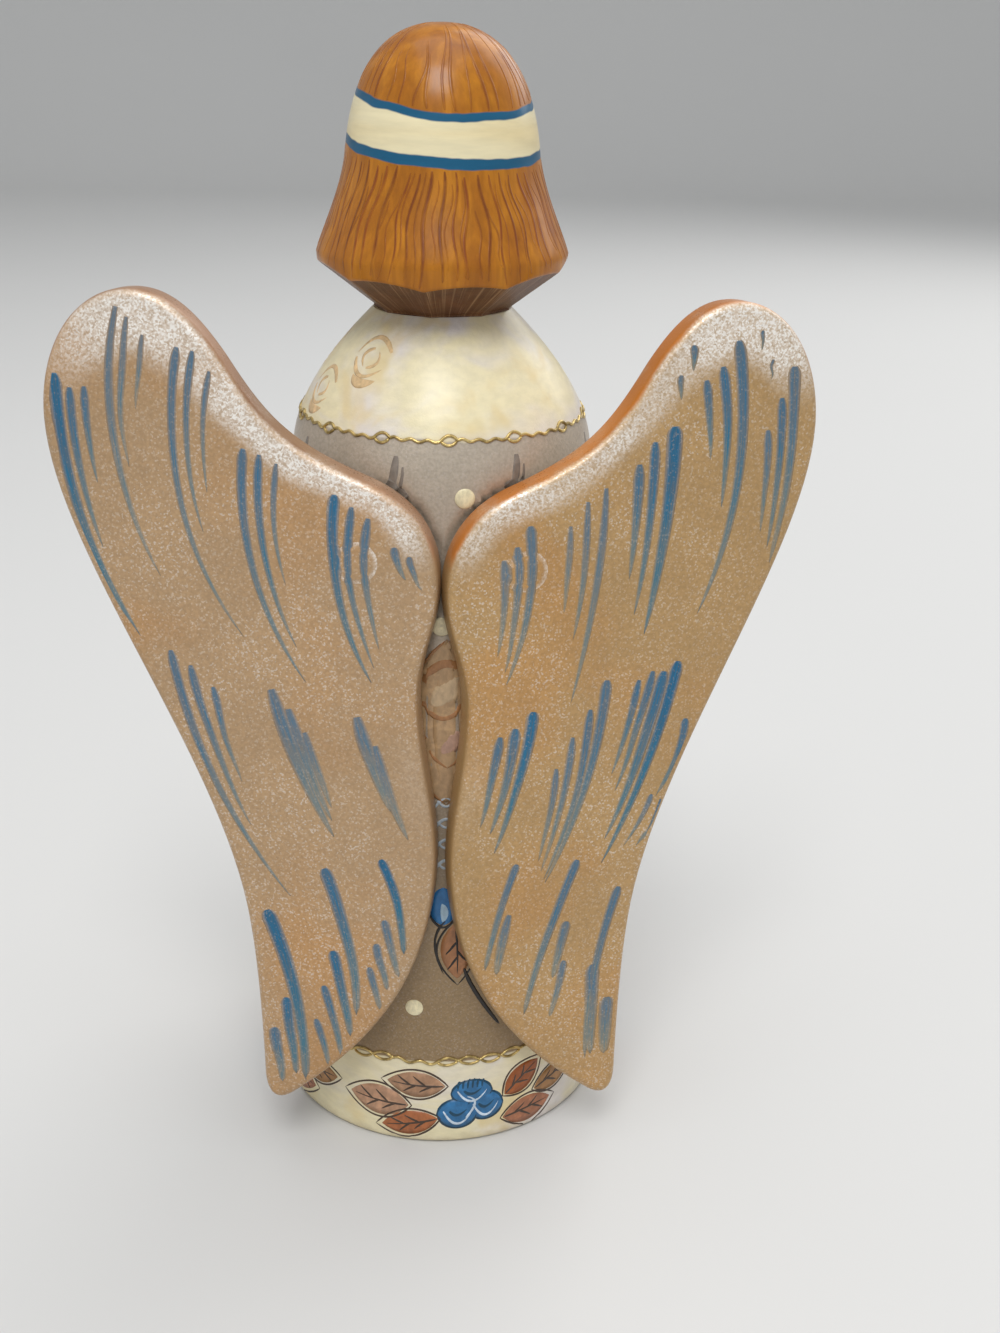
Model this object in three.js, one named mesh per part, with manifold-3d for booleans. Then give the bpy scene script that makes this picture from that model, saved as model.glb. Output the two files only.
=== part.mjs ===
// Wooden angel figurine: a turned dress body, a carved head and two sawn wings, held by dowels and glue.
// Millimetres, +Z up. The figure stands on the XY plane, its turning axis is Z, and it looks along -Y.
import * as THREE from "three";
import { mergeVertices } from "three/addons/utils/BufferGeometryUtils.js";
import Module from "manifold-3d";

const wasm = await Module();
wasm.setup();

const { degToRad, lerp } = THREE.MathUtils;

// Dress body
const dressHeight = 131.6; // floor to the flat that carries the head
const baseRadius = 28.2;
const baseRound = 1.2;
const skirtHeight = 40; // where the hem's flare runs into the straight taper
const skirtRadius = 25.9;
const chestHeight = 111; // where the taper turns into the shoulder
const chestRadius = 22.6;
const neckSeatRadius = 10.2;

// Head, with heights from its own underside
const headHeight = 38.1;
const hairRimRadius = 18.3; // widest place of the bob
const hairRimHeight = 7.7;
const hairRimUndercut = 0.4;
const templeRadius = 13.9;
const templeHeight = 20.8;
const underRadius = 9.4; // knife-cut underside where it meets the neck seat
const underAngle = 41; // slope of the knife cuts from level
const knifeFacets = 10;
const knifeLean = 9; // lowers the rim at the back of the head
const knifeTurn = -8; // turns the facets about the axis
const knifeShift = 1.6; // keeps the leaning cuts centred on the neck seat
const faceWidth = 19.2;
const faceDepth = 23.2;
const faceLength = 24.8;
const faceForward = 2.6; // centre of the face in front of the axis
const faceHeight = 16.6;
const windowWidth = 16.6; // opening between the locks at the cheeks
const windowHeight = 21.6; // top of the opening, at the parting
const windowSpring = 14.5; // where the locks start to curve to the parting
const windowDepth = 4; // back of the opening in front of the axis
const neckRadius = 6.6;
const noseWidth = 2.5;
const noseDepth = 3.2;
const noseLength = 4;
const noseHeight = 14.4;
const noseSink = 0.3; // centre of the nose behind the front of the face

// Wings
const wingSpan = 55.1; // inner to outer edge
const wingRise = 36; // dowel to the top
const wingFall = 89; // dowel to the tip
const wingThickness = 6;
const wingEdgeRound = 1.6;
const wingLean = 3.6; // tops lean towards the axis, like the body's taper
const wingHeight = 100.6; // dowel of the left wing above the floor
const wingSeatDepth = 0.7; // how far the seat is planed into the body
const wingSplit = 0.25; // half of the gap between the two wings
const wingTipWidth = 5;
const leftWingSweep = 8; // forward of square to the figure
const rightWingSweep = 14;
const rightWingDrop = 1.4; // fitted lower than the left wing
const leftWing = { side: -1, sweep: leftWingSweep, drop: 0 };
const rightWing = { side: 1, sweep: rightWingSweep, drop: rightWingDrop };

// Dowels and fits
const wingDowelOffset = 11.6; // from the figure's middle
const wingDowelRadius = 3;
const wingDowelDepth = 12; // into the body
const neckDowelRadius = 4;
const neckDowelInBody = 16;
const neckDowelInHead = 13;
const glueGap = 0.3; // between any two pieces that rest on each other
const dowelClearance = 0.15; // on the radius

// Handles of the curves, as shares of the way across and up
const flareHandles = [[0.3, 0.25], [0.6, 0.55]];
const shoulderHandles = [[0.01, 0.24], [0.27, 0.57]];
const bobHandles = [[0.25, 0.25], [0.84, 0.63]];
const crownHandles = [[0.04, 0.39], [0.22, 1]];
const lockHandles = [[0, 0.55], [0.6, 0.83]];
const partingHandles = [[0.4, 0.17], [1, 0.45]];

// Outline of a wing from its inner edge, clockwise on the right wing: two handles and an end for each curve,
// across in percent of the span, up in percent of the rise or down in percent of the fall, and back from there
// in tip widths.
const wingStart = [0, -3.5];
const wingCurves = [
  [[0, 9.5], [6, 23.5], [18, 31]], // inner shoulder
  [[37.5, 42.5], [44, 51], [54, 75]], // hollow of the upper edge
  [[60.5, 89.5], [67, 100], [76, 100]],
  [[90, 100], [100, 78], [100, 51]], // round top
  [[100, -1], [58, -35], [52, -65]], // outer edge
  [[50.5, -72], [49.5, -81], [49, -96]],
  [[49, -101, 0.05], [49, -101.5, 0.5], [49, -99, 1]], // tip
  [[13.5, -86], [0.5, -71], [0, -51.5]], // lower inner edge
  [[0, -41.5], [5, -32.5], [5, -22.5]], // waist between the wings
  [[5, -15], [0, -11], wingStart],
];

// Fineness of the meshes
const turnSegments = 56;
const dowelSegments = 24;
const curveSegments = 7;
const edgeSegments = 3;
const ballSegments = 28;

// Paint and wood
const dressPaint = new THREE.MeshStandardMaterial({ color: 0xa39584, roughness: 0.45, metalness: 0.25 });
const hairPaint = new THREE.MeshStandardMaterial({ color: 0xb8761f, roughness: 0.4, metalness: 0 });
const wingPaint = new THREE.MeshStandardMaterial({ color: 0xbb9563, roughness: 0.4, metalness: 0.2 });
const bareWood = new THREE.MeshStandardMaterial({ color: 0xd9bb8c, roughness: 0.7, metalness: 0 });

// A closed three.js geometry as a manifold solid.
function solidFrom(geometry) {
  const bare = geometry.clone();
  bare.deleteAttribute("normal");
  bare.deleteAttribute("uv");
  const merged = mergeVertices(bare, 1e-4);
  const corners = merged.index.array;
  const triVerts = [];
  for (let i = 0; i < corners.length; i += 3) {
    const [a, b, c] = corners.subarray(i, i + 3);
    if (a !== b && b !== c && c !== a) triVerts.push(a, b, c);
  }
  const mesh = new wasm.Mesh({
    numProp: 3,
    vertProperties: merged.attributes.position.array,
    triVerts: new Uint32Array(triVerts),
  });
  return new wasm.Manifold(mesh);
}

// A manifold solid as a named three.js mesh.
function meshFrom(name, solid, material) {
  const { vertProperties, triVerts } = solid.getMesh();
  const geometry = new THREE.BufferGeometry();
  geometry.setAttribute("position", new THREE.BufferAttribute(new Float32Array(vertProperties), 3));
  geometry.setIndex(new THREE.BufferAttribute(new Uint32Array(triVerts), 1));
  geometry.computeVertexNormals();
  const mesh = new THREE.Mesh(geometry, material);
  mesh.name = name;
  return mesh;
}

// Carries a path on to a point by a curve whose handles are shares of the way there.
function curveTo(path, x, y, [[startX, startY], [endX, endY]]) {
  const from = path.currentPoint;
  path.bezierCurveTo(
    lerp(from.x, x, startX), lerp(from.y, y, startY),
    lerp(from.x, x, endX), lerp(from.y, y, endY),
    x, y,
  );
}

// A profile of radius and height, from the axis back to the axis, turned about Z.
function turned(profile) {
  const points = profile.getPoints(curveSegments);
  return solidFrom(new THREE.LatheGeometry(points, turnSegments).rotateX(Math.PI / 2));
}

// A cylinder along Z from one height to another.
function rod(radius, from, to, x = 0) {
  const geometry = new THREE.CylinderGeometry(radius, radius, to - from, dowelSegments);
  return solidFrom(geometry.rotateX(Math.PI / 2).translate(x, 0, (from + to) / 2));
}

function ellipsoid(width, depth, length, forward, height) {
  const ball = new THREE.SphereGeometry(1 / 2, ballSegments, ballSegments / 2).rotateX(Math.PI / 2);
  return solidFrom(ball.scale(width, depth, length).translate(0, -forward, height));
}

// Radius of the dress's straight taper at a height.
function taperRadius(height) {
  return lerp(skirtRadius, chestRadius, (height - skirtHeight) / (chestHeight - skirtHeight));
}

// Where a wing stands: local X runs across, local Y up and local Z out of the back, from the dowel's height
// at the figure's middle and the middle of the wing's thickness.
function wingMatrix({ side, sweep, drop }) {
  const frame = new THREE.Object3D();
  const toMiddle = taperRadius(wingHeight) - wingSeatDepth + glueGap + wingThickness / 2;
  frame.rotation.order = "ZXY";
  frame.rotation.z = Math.PI + side * degToRad(sweep);
  frame.rotation.x = Math.PI / 2 - degToRad(wingLean);
  frame.position.set(0, toMiddle / Math.cos(degToRad(sweep)), wingHeight - drop);
  frame.updateMatrix();
  return frame.matrix.elements;
}

function wingOutline(side) {
  const point = ([across, up, tips = 0]) => [
    side * (wingSplit + (across / 100) * wingSpan - tips * wingTipWidth),
    (up / 100) * (up > 0 ? wingRise : wingFall),
  ];
  const shape = new THREE.Shape();
  shape.moveTo(...point(wingStart));
  for (const curve of wingCurves) shape.bezierCurveTo(...curve.flatMap(point));
  return shape;
}

function wingDowelHole({ side }) {
  const reach = wingThickness / 2 + glueGap + wingDowelDepth;
  return rod(wingDowelRadius + dowelClearance, -reach, wingThickness, side * wingDowelOffset);
}

// Dress body: one turning with two planed seats and three blind holes
function makeDress() {
  const profile = new THREE.Path();
  profile.moveTo(0, 0);
  profile.lineTo(baseRadius - baseRound, 0);
  profile.quadraticCurveTo(baseRadius, 0, baseRadius, baseRound);
  curveTo(profile, skirtRadius, skirtHeight, flareHandles);
  profile.lineTo(chestRadius, chestHeight);
  curveTo(profile, neckSeatRadius, dressHeight, shoulderHandles);
  profile.lineTo(0, dressHeight);
  const holeEnd = dressHeight - neckDowelInBody - glueGap;
  let body = turned(profile).subtract(rod(neckDowelRadius + dowelClearance, holeEnd, dressHeight + glueGap));
  for (const wing of [leftWing, rightWing]) {
    const planed = new THREE.BoxGeometry(4 * baseRadius, 2 * dressHeight, 2 * baseRadius);
    planed.translate(0, 0, baseRadius - wingThickness / 2 - glueGap);
    const cut = solidFrom(planed).add(wingDowelHole(wing));
    body = body.subtract(cut.transform(wingMatrix(wing)));
  }
  return meshFrom("dress_body", body, dressPaint);
}

// Turned bob of the hair, before it is cut
function makeBob() {
  const profile = new THREE.Path();
  profile.moveTo(0, 0);
  profile.lineTo(hairRimRadius - hairRimUndercut, 0);
  profile.lineTo(hairRimRadius, hairRimHeight);
  curveTo(profile, templeRadius, templeHeight, bobHandles);
  curveTo(profile, 0, headHeight, crownHandles);
  return turned(profile);
}

// What the knife leaves under the bob: a pyramid on its point, which leans back
function makeKnifeCuts() {
  const rise = 2 * headHeight;
  const slope = Math.tan(degToRad(underAngle));
  const reach = rise / slope / Math.cos(Math.PI / knifeFacets);
  const cuts = new THREE.ConeGeometry(reach, rise, knifeFacets).rotateX(-Math.PI / 2);
  cuts.rotateZ(degToRad(knifeTurn)).translate(0, 0, rise / 2 - underRadius * slope);
  return solidFrom(cuts.rotateX(degToRad(-knifeLean)).translate(0, -knifeShift, 0));
}

// Opening between the locks, from the parting down through the underside
function makeFaceWindow() {
  const half = windowWidth / 2;
  const opening = new THREE.Shape();
  opening.moveTo(-half, -glueGap);
  opening.lineTo(half, -glueGap);
  opening.lineTo(half, windowSpring);
  curveTo(opening, 0, windowHeight, lockHandles);
  curveTo(opening, -half, windowSpring, partingHandles);
  const depth = 2 * hairRimRadius;
  const window = new THREE.ExtrudeGeometry(opening, { depth, bevelEnabled: false, curveSegments });
  return solidFrom(window.translate(0, 0, windowDepth).rotateX(Math.PI / 2));
}

// Head: the bob with a knife-cut underside, opened at the front to the face and neck
function makeHead() {
  const noseForward = faceForward + faceDepth / 2 - noseSink;
  const head = makeBob()
    .intersect(makeKnifeCuts())
    .subtract(makeFaceWindow())
    .add(rod(neckRadius, 0, faceHeight))
    .add(ellipsoid(faceWidth, faceDepth, faceLength, faceForward, faceHeight))
    .add(ellipsoid(noseWidth, noseDepth, noseLength, noseForward, noseHeight))
    .subtract(rod(neckDowelRadius + dowelClearance, -glueGap, neckDowelInHead + glueGap));
  const mesh = meshFrom("head", head, hairPaint);
  mesh.position.z = dressHeight + glueGap;
  return mesh;
}

// One wing: a sawn board with rounded edges, drilled for its dowel
function makeWing(name, wing) {
  const board = new THREE.ExtrudeGeometry(wingOutline(wing.side), {
    depth: wingThickness - 2 * wingEdgeRound,
    curveSegments,
    bevelThickness: wingEdgeRound,
    bevelSize: wingEdgeRound,
    bevelOffset: -wingEdgeRound,
    bevelSegments: edgeSegments,
  });
  board.translate(0, 0, wingEdgeRound - wingThickness / 2);
  const drilled = solidFrom(board).subtract(wingDowelHole(wing));
  return meshFrom(name, drilled.transform(wingMatrix(wing)), wingPaint);
}

// Dowel of a wing, flush with the wing's back and short of the end of its hole
function makeWingDowel(name, wing) {
  const reach = wingThickness / 2 + wingDowelDepth;
  const peg = rod(wingDowelRadius, -reach, wingThickness / 2, wing.side * wingDowelOffset);
  return meshFrom(name, peg.transform(wingMatrix(wing)), bareWood);
}

function makeNeckDowel() {
  const top = dressHeight + glueGap + neckDowelInHead;
  return meshFrom("neck_dowel", rod(neckDowelRadius, dressHeight - neckDowelInBody, top), bareWood);
}

const angel = new THREE.Group();
angel.add(
  makeDress(),
  makeHead(),
  makeNeckDowel(),
  makeWing("left_wing", leftWing),
  makeWing("right_wing", rightWing),
  makeWingDowel("left_wing_dowel", leftWing),
  makeWingDowel("right_wing_dowel", rightWing),
);

export default angel;
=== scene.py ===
"""Painted wooden angel figurine: a turned dress, a carved head, two sawn wings and the brushwork on them.

Metres, +Z up. The figure stands on the XY plane, looks along -Y, and is seen from behind.
"""
import math
import random
from dataclasses import dataclass, fields, replace

import bmesh
import bpy
import numpy as np
from bpy.props import FloatProperty, FloatVectorProperty, IntProperty, PointerProperty
from bpy.types import Operator, Panel, PropertyGroup
from mathutils import Matrix, Vector, noise
from mathutils.geometry import delaunay_2d_cdt


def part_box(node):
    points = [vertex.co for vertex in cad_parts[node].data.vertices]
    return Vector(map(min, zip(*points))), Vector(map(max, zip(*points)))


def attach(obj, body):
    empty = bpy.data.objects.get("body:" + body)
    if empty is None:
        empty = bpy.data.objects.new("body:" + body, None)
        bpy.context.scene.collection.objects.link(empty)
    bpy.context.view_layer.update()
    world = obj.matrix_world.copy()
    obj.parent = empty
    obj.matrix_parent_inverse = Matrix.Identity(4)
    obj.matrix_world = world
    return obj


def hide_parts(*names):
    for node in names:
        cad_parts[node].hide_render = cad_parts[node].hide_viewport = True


bl_info = {
    "name": "Painted wooden angel",
    "version": (1, 0, 0),
    "blender": (4, 5, 0),
    "location": "3D View > Sidebar > Angel",
    "description": "Builds a turned and painted wooden angel on its packed frame",
    "category": "Add Mesh",
}

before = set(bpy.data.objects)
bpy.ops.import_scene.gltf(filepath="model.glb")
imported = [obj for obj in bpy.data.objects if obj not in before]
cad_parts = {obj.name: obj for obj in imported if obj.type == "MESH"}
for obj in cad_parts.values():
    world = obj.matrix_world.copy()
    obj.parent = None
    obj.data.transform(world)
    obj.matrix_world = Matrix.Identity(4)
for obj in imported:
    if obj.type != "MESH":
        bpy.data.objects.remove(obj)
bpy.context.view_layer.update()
dress_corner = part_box("dress_body")[1]
head_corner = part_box("head")[1]

MM = 0.001

# Fineness of the meshes, and of the grains in the pearl paint
DRESS_COLUMNS = 208
HAIR_COLUMNS = 320
HAIR_ROWS = 64
RIM_ROWS = 4
UNDER_ROWS = 9
BALL_COLUMNS = 64
BALL_ROWS = 40
HOLE_SIDES = 48
EDGE_STEPS = 6
PAD_COLUMNS = 5
PAD_STEPS = 30
STRAND_STEPS = 60
GRAINS = 4200

# Handles of the turned and carved curves, as shares of the way across and up
FOOT = ((0.667, 0), (1, 0.333))
FLARE = ((0.3, 0.25), (0.6, 0.55))
SHOULDER = ((0.01, 0.24), (0.27, 0.57))
BOB = ((0.25, 0.25), (0.84, 0.63))
CROWN = ((0.04, 0.39), (0.22, 1))
LOCK = ((0, 0.55), (0.6, 0.83))
PARTING = ((0.4, 0.17), (1, 0.45))
PLUG = ((0.5, 0), (0.6, 1))

# Slopes of the headband: up towards +X, and down towards the back at its lower and upper edge
BAND_LEAN = 0.06
BAND_DIP = 0.13
BAND_CROWN_DIP = 0.19

# Outline of a wing: two handles and an end for each curve, across in percent of the span, up in percent
# of the rise or down in percent of the fall, and back from there in tip widths
WING_START = (0, -3.5)
WING_CURVES = (
    ((0, 9.5), (6, 23.5), (18, 31)),  # inner shoulder
    ((37.5, 42.5), (44, 51), (54, 75)),  # hollow of the upper edge
    ((60.5, 89.5), (67, 100), (76, 100)),
    ((90, 100), (100, 78), (100, 51)),  # round top
    ((100, -1), (58, -35), (52, -65)),  # outer edge
    ((50.5, -72), (49.5, -81), (49, -96)),
    ((49, -101, 0.05), (49, -101.5, 0.5), (49, -99, 1)),  # tip
    ((13.5, -86), (0.5, -71), (0, -51.5)),  # lower inner edge
    ((0, -41.5), (5, -32.5), (5, -22.5)),  # waist between the wings
    ((5, -15), (0, -11), WING_START),
)

# Tufts of feather strokes on each wing in millimetres from the dowel's height at the figure's middle: where
# the first stroke starts, how far it reaches inward and down, its outward bow and its width. Then how many
# strokes there are, how far inward and down each next one starts, its length by the one before, and the
# paint's strength.
LEFT_TUFTS = (
    (53, 24, 11, 39, 3, 2, 3, 2.2, 0.6, 0.55, 1),
    (44, 34.5, 6, 40, 4, 1.8, 3, 1.8, 2, 0.5, 0.6),
    (35.5, 29.5, 8, 40.5, 4.5, 1.6, 3, 2, 1.6, 0.65, 0.75),
    (27, 16, 10, 36, 3.7, 1.6, 3, 2.3, 1, 0.7, 0.85),
    (14.5, 10, 6.5, 29.5, 2.7, 1.9, 3, 2.4, 1.5, 0.78, 0.95),
    (6, 3, 2, 5, 0.4, 1.5, 2, 2, 1, 1, 0.75),
    (39, -13.5, 17, 38.5, 2.8, 1.8, 3, 3, 2.6, 0.62, 0.8),
    (24, -19, 9.5, 24, 0.8, 2.7, 3, 2.4, 3.6, 0.7, 0.65),
    (11.5, -23.5, 5.5, 16, 0.5, 2.7, 2, 2.6, 3, 0.95, 0.65),
    (26, -55.5, 5.5, 31, -1.7, 2.4, 1, 0, 0, 1, 1),
    (23.5, -71, 1.5, 15, 0, 2.1, 2, -1.8, 5.5, 0.7, 0.9),
    (17, -48, 4.8, 27.5, -1.5, 2.1, 1, 0, 0, 1, 1),
    (16, -61, 2.6, 16, -0.4, 2.1, 3, -1.2, 6, 0.75, 0.9),
    (8.5, -45.5, 3.5, 17.5, -0.9, 1.8, 1, 0, 0, 1, 1),
    (8, -55.5, 2.2, 10, 0, 1.8, 3, -1.2, 4.5, 0.85, 0.75),
)
RIGHT_TUFTS = (
    (51, 26.5, 2.6, 30.5, 1.2, 2, 3, 2, 4, 0.7, 0.8),
    (42, 31, 5.3, 41, 3.3, 2.5, 3, 2.3, 3, 0.5, 0.9),
    (35.5, 30, 0, 3.6, 0, 1.4, 2, 2, 4.2, 1, 0.7),
    (46, 31.5, 0, 2.8, 0, 0.8, 2, -1.6, 3.4, 1, 0.7),
    (33, 19, 4.3, 33, 1.1, 2.5, 3, 2.6, 2, 0.72, 1),
    (23, 11.5, 5, 33, 1.1, 1.8, 3, 2.5, 2.5, 0.6, 0.65),
    (12, 7, 4.2, 25, 1.5, 2.1, 3, 2, 2.5, 0.75, 0.75),
    (35, -15.5, 12, 33, 1.3, 2.6, 4, 2, 0.6, 0.75, 1),
    (36.5, -25, 4.5, 12.5, 0.8, 1.5, 1, 0, 0, 1, 0.8),
    (33, -38, 4.2, 8, 0.5, 1.4, 2, 1.6, -1, 1, 0.7),
    (24, -17.5, 11, 35, 2, 2, 4, 2.5, 4.2, 0.75, 0.8),
    (12.5, -21.5, 6, 22, 0.8, 2.5, 3, 2.5, 1.4, 0.8, 0.9),
    (10.5, -45, 5.2, 19, -0.5, 1.7, 1, 0, 0, 1, 0.7),
    (9.3, -54.5, 2, 10.5, -0.2, 1.8, 1, 0, 0, 1, 0.65),
    (20, -46, 8.3, 26, -0.7, 1.6, 1, 0, 0, 1, 0.75),
    (18.5, -56.5, 2.3, 10, 0, 1.9, 2, 0.6, 6.6, 1, 0.7),
    (26.5, -52, 5, 30, -1.3, 1.9, 1, 0, 0, 1, 0.75),
    (23, -65, 0, 17.5, -0.3, 2.7, 2, -2.1, 6.8, 0.63, 0.75),
)

# Leaves of one hem spray in millimetres: arc to the right and height at the stalk and at the tip, width
# and colour
HEM_LEAVES = (
    (-4.8, 7.1, -16.4, 7.4, 6.6, 0xB48A6C),
    (1.2, 11, -9.6, 11.4, 5.6, 0xA98162),
    (0, 4.9, -10.6, 2.6, 5.2, 0xA8643A),
    (10.4, 7.6, 17.6, 12.8, 5.6, 0x96501F),
    (16, 6.8, 25.6, 8.6, 5, 0xA27545),
    (10, 3.4, 20.6, 4, 5.6, 0xA46B4C),
)

# Faint roses on the shoulders: turn from the back in degrees, and height in millimetres
ROSES = (
    (-41, 126), (-66, 121.2), (-96, 126), (-122, 121), (-150, 125.6), (178, 120.8), (150, 125.6), (122, 121),
)


def linear(code):
    """A colour written as on a paint card, in linear light."""
    channels = [(code >> shift & 255) / 255 for shift in (16, 8, 0)]
    return tuple(c / 12.92 if c <= 0.04045 else ((c + 0.055) / 1.055) ** 2.4 for c in channels)


def length(name, millimetres, description):
    """A size, given in millimetres."""
    return FloatProperty(
        name=name, description=description, default=millimetres * MM, unit="LENGTH", precision=5
    )


def angle(name, degrees, description):
    """An angle, given in degrees."""
    return FloatProperty(
        name=name, description=description, default=math.radians(degrees), unit="ROTATION"
    )


def whole(name, number, description):
    """A number of like things."""
    return IntProperty(name=name, description=description, default=number, min=3)


def paint(name, code, description):
    """A colour, given as on a paint card."""
    return FloatVectorProperty(
        name=name, description=description, default=linear(code), size=3, min=0, max=1, subtype="COLOR"
    )


class AngelDress(PropertyGroup):
    """Sizes of the turned dress"""

    height: length("Height", dress_corner.z / MM, "Floor to the flat that carries the head")
    base_radius: length("Foot radius", dress_corner.x / MM, "Radius of the foot")
    base_round: length("Foot rounding", 1.2, "Rounding of the foot's edge")
    skirt_height: length("Skirt height", 40, "Where the hem's flare runs into the straight taper")
    skirt_radius: length("Skirt radius", 25.9, "Radius at the end of the flare")
    chest_height: length("Chest height", 111, "Where the taper turns into the shoulder")
    chest_radius: length("Chest radius", 22.6, "Radius at the end of the taper")
    neck_seat_radius: length("Neck seat radius", 10.2, "Radius of the flat under the head")
    neck_hole_radius: length("Neck hole radius", 4.15, "Radius of the neck dowel's hole")
    neck_hole_depth: length("Neck hole depth", 16.3, "Depth of the neck dowel's hole")
    upper_line: length("Upper gold line", 116.6, "Height of the gold line at the shoulder")
    lower_line: length("Lower gold line", 15.7, "Height of the gold line at the hem")


class AngelHead(PropertyGroup):
    """Sizes of the carved head, with heights from its own underside"""

    seat: length("Seat", dress_corner.z / MM + 0.3, "Height of the head's underside above the floor")
    height: length("Height", head_corner.z / MM - dress_corner.z / MM - 0.3, "Underside to crown")
    rim_radius: length("Rim radius", 18.3, "Widest place of the bob")
    rim_height: length("Rim height", 7.7, "Height of the widest place")
    rim_undercut: length("Rim undercut", 0.4, "How far the bob draws in below the rim")
    rim_round: length("Rim rounding", 0.45, "Worn rounding of the rim's edge")
    temple_radius: length("Temple radius", 13.9, "Radius at the temples")
    temple_height: length("Temple height", 20.8, "Height of the temples")
    under_radius: length("Underside radius", 9.4, "Knife-cut underside where it meets the seat")
    under_angle: angle("Knife slope", 41, "Slope of the knife cuts from level")
    knife_facets: whole("Knife cuts", 10, "Cuts around the underside")
    knife_lean: angle("Knife lean", 9, "Lean of the cuts, which lowers the rim at the back")
    knife_turn: angle("Knife turn", -8, "Turn of the cuts about the axis")
    knife_shift: length("Knife shift", 1.6, "Keeps the leaning cuts centred on the seat")
    face_width: length("Face width", 19.2, "Width of the face")
    face_depth: length("Face depth", 23.2, "Depth of the face")
    face_length: length("Face length", 24.8, "Chin to forehead, under the hair")
    face_forward: length("Face forward", 2.6, "Centre of the face in front of the axis")
    face_height: length("Face height", 16.6, "Height of the face's centre")
    window_width: length("Opening width", 16.6, "Opening between the locks at the cheeks")
    window_height: length("Opening height", 21.6, "Top of the opening, at the parting")
    window_spring: length("Opening spring", 14.5, "Where the locks start to curve to the parting")
    window_depth: length("Opening depth", 4, "Back of the opening in front of the axis")
    neck_radius: length("Neck radius", 6.6, "Radius of the neck")
    nose_width: length("Nose width", 2.5, "Width of the nose")
    nose_depth: length("Nose depth", 3.2, "Depth of the nose")
    nose_length: length("Nose length", 4, "Length of the nose")
    nose_height: length("Nose height", 14.4, "Height of the nose's centre")
    nose_sink: length("Nose sink", 0.3, "Nose's centre behind the front of the face")
    glue: length("Glue", 0.28, "Bead of glue that carries the underside down to the dress")
    hole_depth: length("Dowel hole depth", 13.3, "Depth of the neck dowel's hole")
    band_low: length("Band's lower edge", 21.75, "Headband's lower edge at the sides")
    band_high: length("Band's upper edge", 29.4, "Headband's upper edge at the sides")
    band_line: length("Band line", 1.35, "Width of the band's lower blue line")
    strands: whole("Strands", 54, "Painted strands below the band")
    crown_strands: whole("Crown strands", 40, "Strands above the band")


class AngelWings(PropertyGroup):
    """Sizes of the sawn wings and their dowels"""

    span: length("Span", 55.1, "Inner to outer edge of one wing")
    rise: length("Rise", 36, "Dowel to the top")
    fall: length("Fall", 89, "Dowel to the tip")
    thickness: length("Thickness", 6, "Thickness of the board")
    edge_round: length("Edge rounding", 1.6, "Rounding of the sawn edges")
    pillow: length("Sanding", 0.3, "How far sanding lowers the face towards its edges")
    lean: angle("Lean", 3.6, "Lean of the tops towards the axis")
    height: length("Height", 100.6, "Dowel of the left wing above the floor")
    seat_depth: length("Seat depth", 0.7, "How far the seat is planed into the body")
    split: length("Split", 0.25, "Half of the gap between the wings")
    tip_width: length("Tip width", 5, "Width of the tip")
    left_sweep: angle("Left sweep", 8, "Left wing forward of square to the figure")
    right_sweep: angle("Right sweep", 14, "Right wing forward of square to the figure")
    right_drop: length("Right drop", 1.4, "How much lower the right wing is fitted")
    glue_gap: length("Glue gap", 0.3, "Between the wing and its seat")
    dowel_offset: length("Dowel offset", 11.6, "Dowel from the figure's middle")
    dowel_radius: length("Dowel radius", 3, "Radius of the wing dowels")
    dowel_depth: length("Dowel depth", 12, "Dowel's depth in the body")
    dowel_proud: length("Dowel proud", 0.2, "How far the painted dowel stands out of the wing")


class AngelPaint(PropertyGroup):
    """Colours and thicknesses of the paint"""

    cream: paint("Cream", 0xE6DAB4, "Shoulders, hem and headband")
    lilac: paint("Lilac white", 0xDDD6D6, "Pearly patches in the cream")
    straw: paint("Straw", 0xDCC48A, "Warm patches in the cream")
    taupe: paint("Taupe", 0xB4A796, "Dress below the shoulders")
    umber: paint("Umber", 0x907857, "Dress towards the hem")
    ochre: paint("Ochre", 0xA0600F, "Hair")
    # Umber is partly painted shade: the skirt darkens to it under the wings
    amber: paint("Amber", 0xB87516, "Lighter streaks in the hair")
    chestnut: paint("Chestnut", 0x743710, "Strands in the hair")
    walnut: paint("Walnut", 0x5C3A20, "Underside of the hair")
    skin: paint("Skin", 0xE7B893, "Face and neck")
    rose: paint("Rose", 0xC8625A, "Lips and cheeks")
    left_wing: paint("Left wing", 0xB4946F, "Pearl paint of the left wing")
    right_wing: paint("Right wing", 0xB59262, "Pearl paint of the right wing")
    # Pearl is also the colour of painted highlight: the band along the wings' upper edges and the glints of
    # their pearl paint
    pearl: paint("Pearl", 0xF6F0E8, "Pearl along the wings' upper edges")
    left_edge: paint("Left edge", 0xB48A6A, "Sawn edge of the left wing")
    right_edge: paint("Right edge", 0xC67A33, "Sawn edge of the right wing")
    blue: paint("Blue", 0x14587A, "Feather strokes, headband and flowers")
    teal: paint("Teal", 0x3C7680, "Thin tails of the feather strokes")
    gold: paint("Gold", 0xD6BC7C, "Raised gold lines")
    ink: paint("Ink", 0x463528, "Outlines and veins")
    wood: paint("Bare wood", 0xD9BB8C, "Dowels")
    paint_depth: length("Paint depth", 0.04, "Thickness of one layer of brushwork")
    cord_width: length("Gold line width", 0.45, "Width of the raised gold lines")
    dot_radius: length("Dot radius", 1.45, "Radius of the cream dots")


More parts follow.
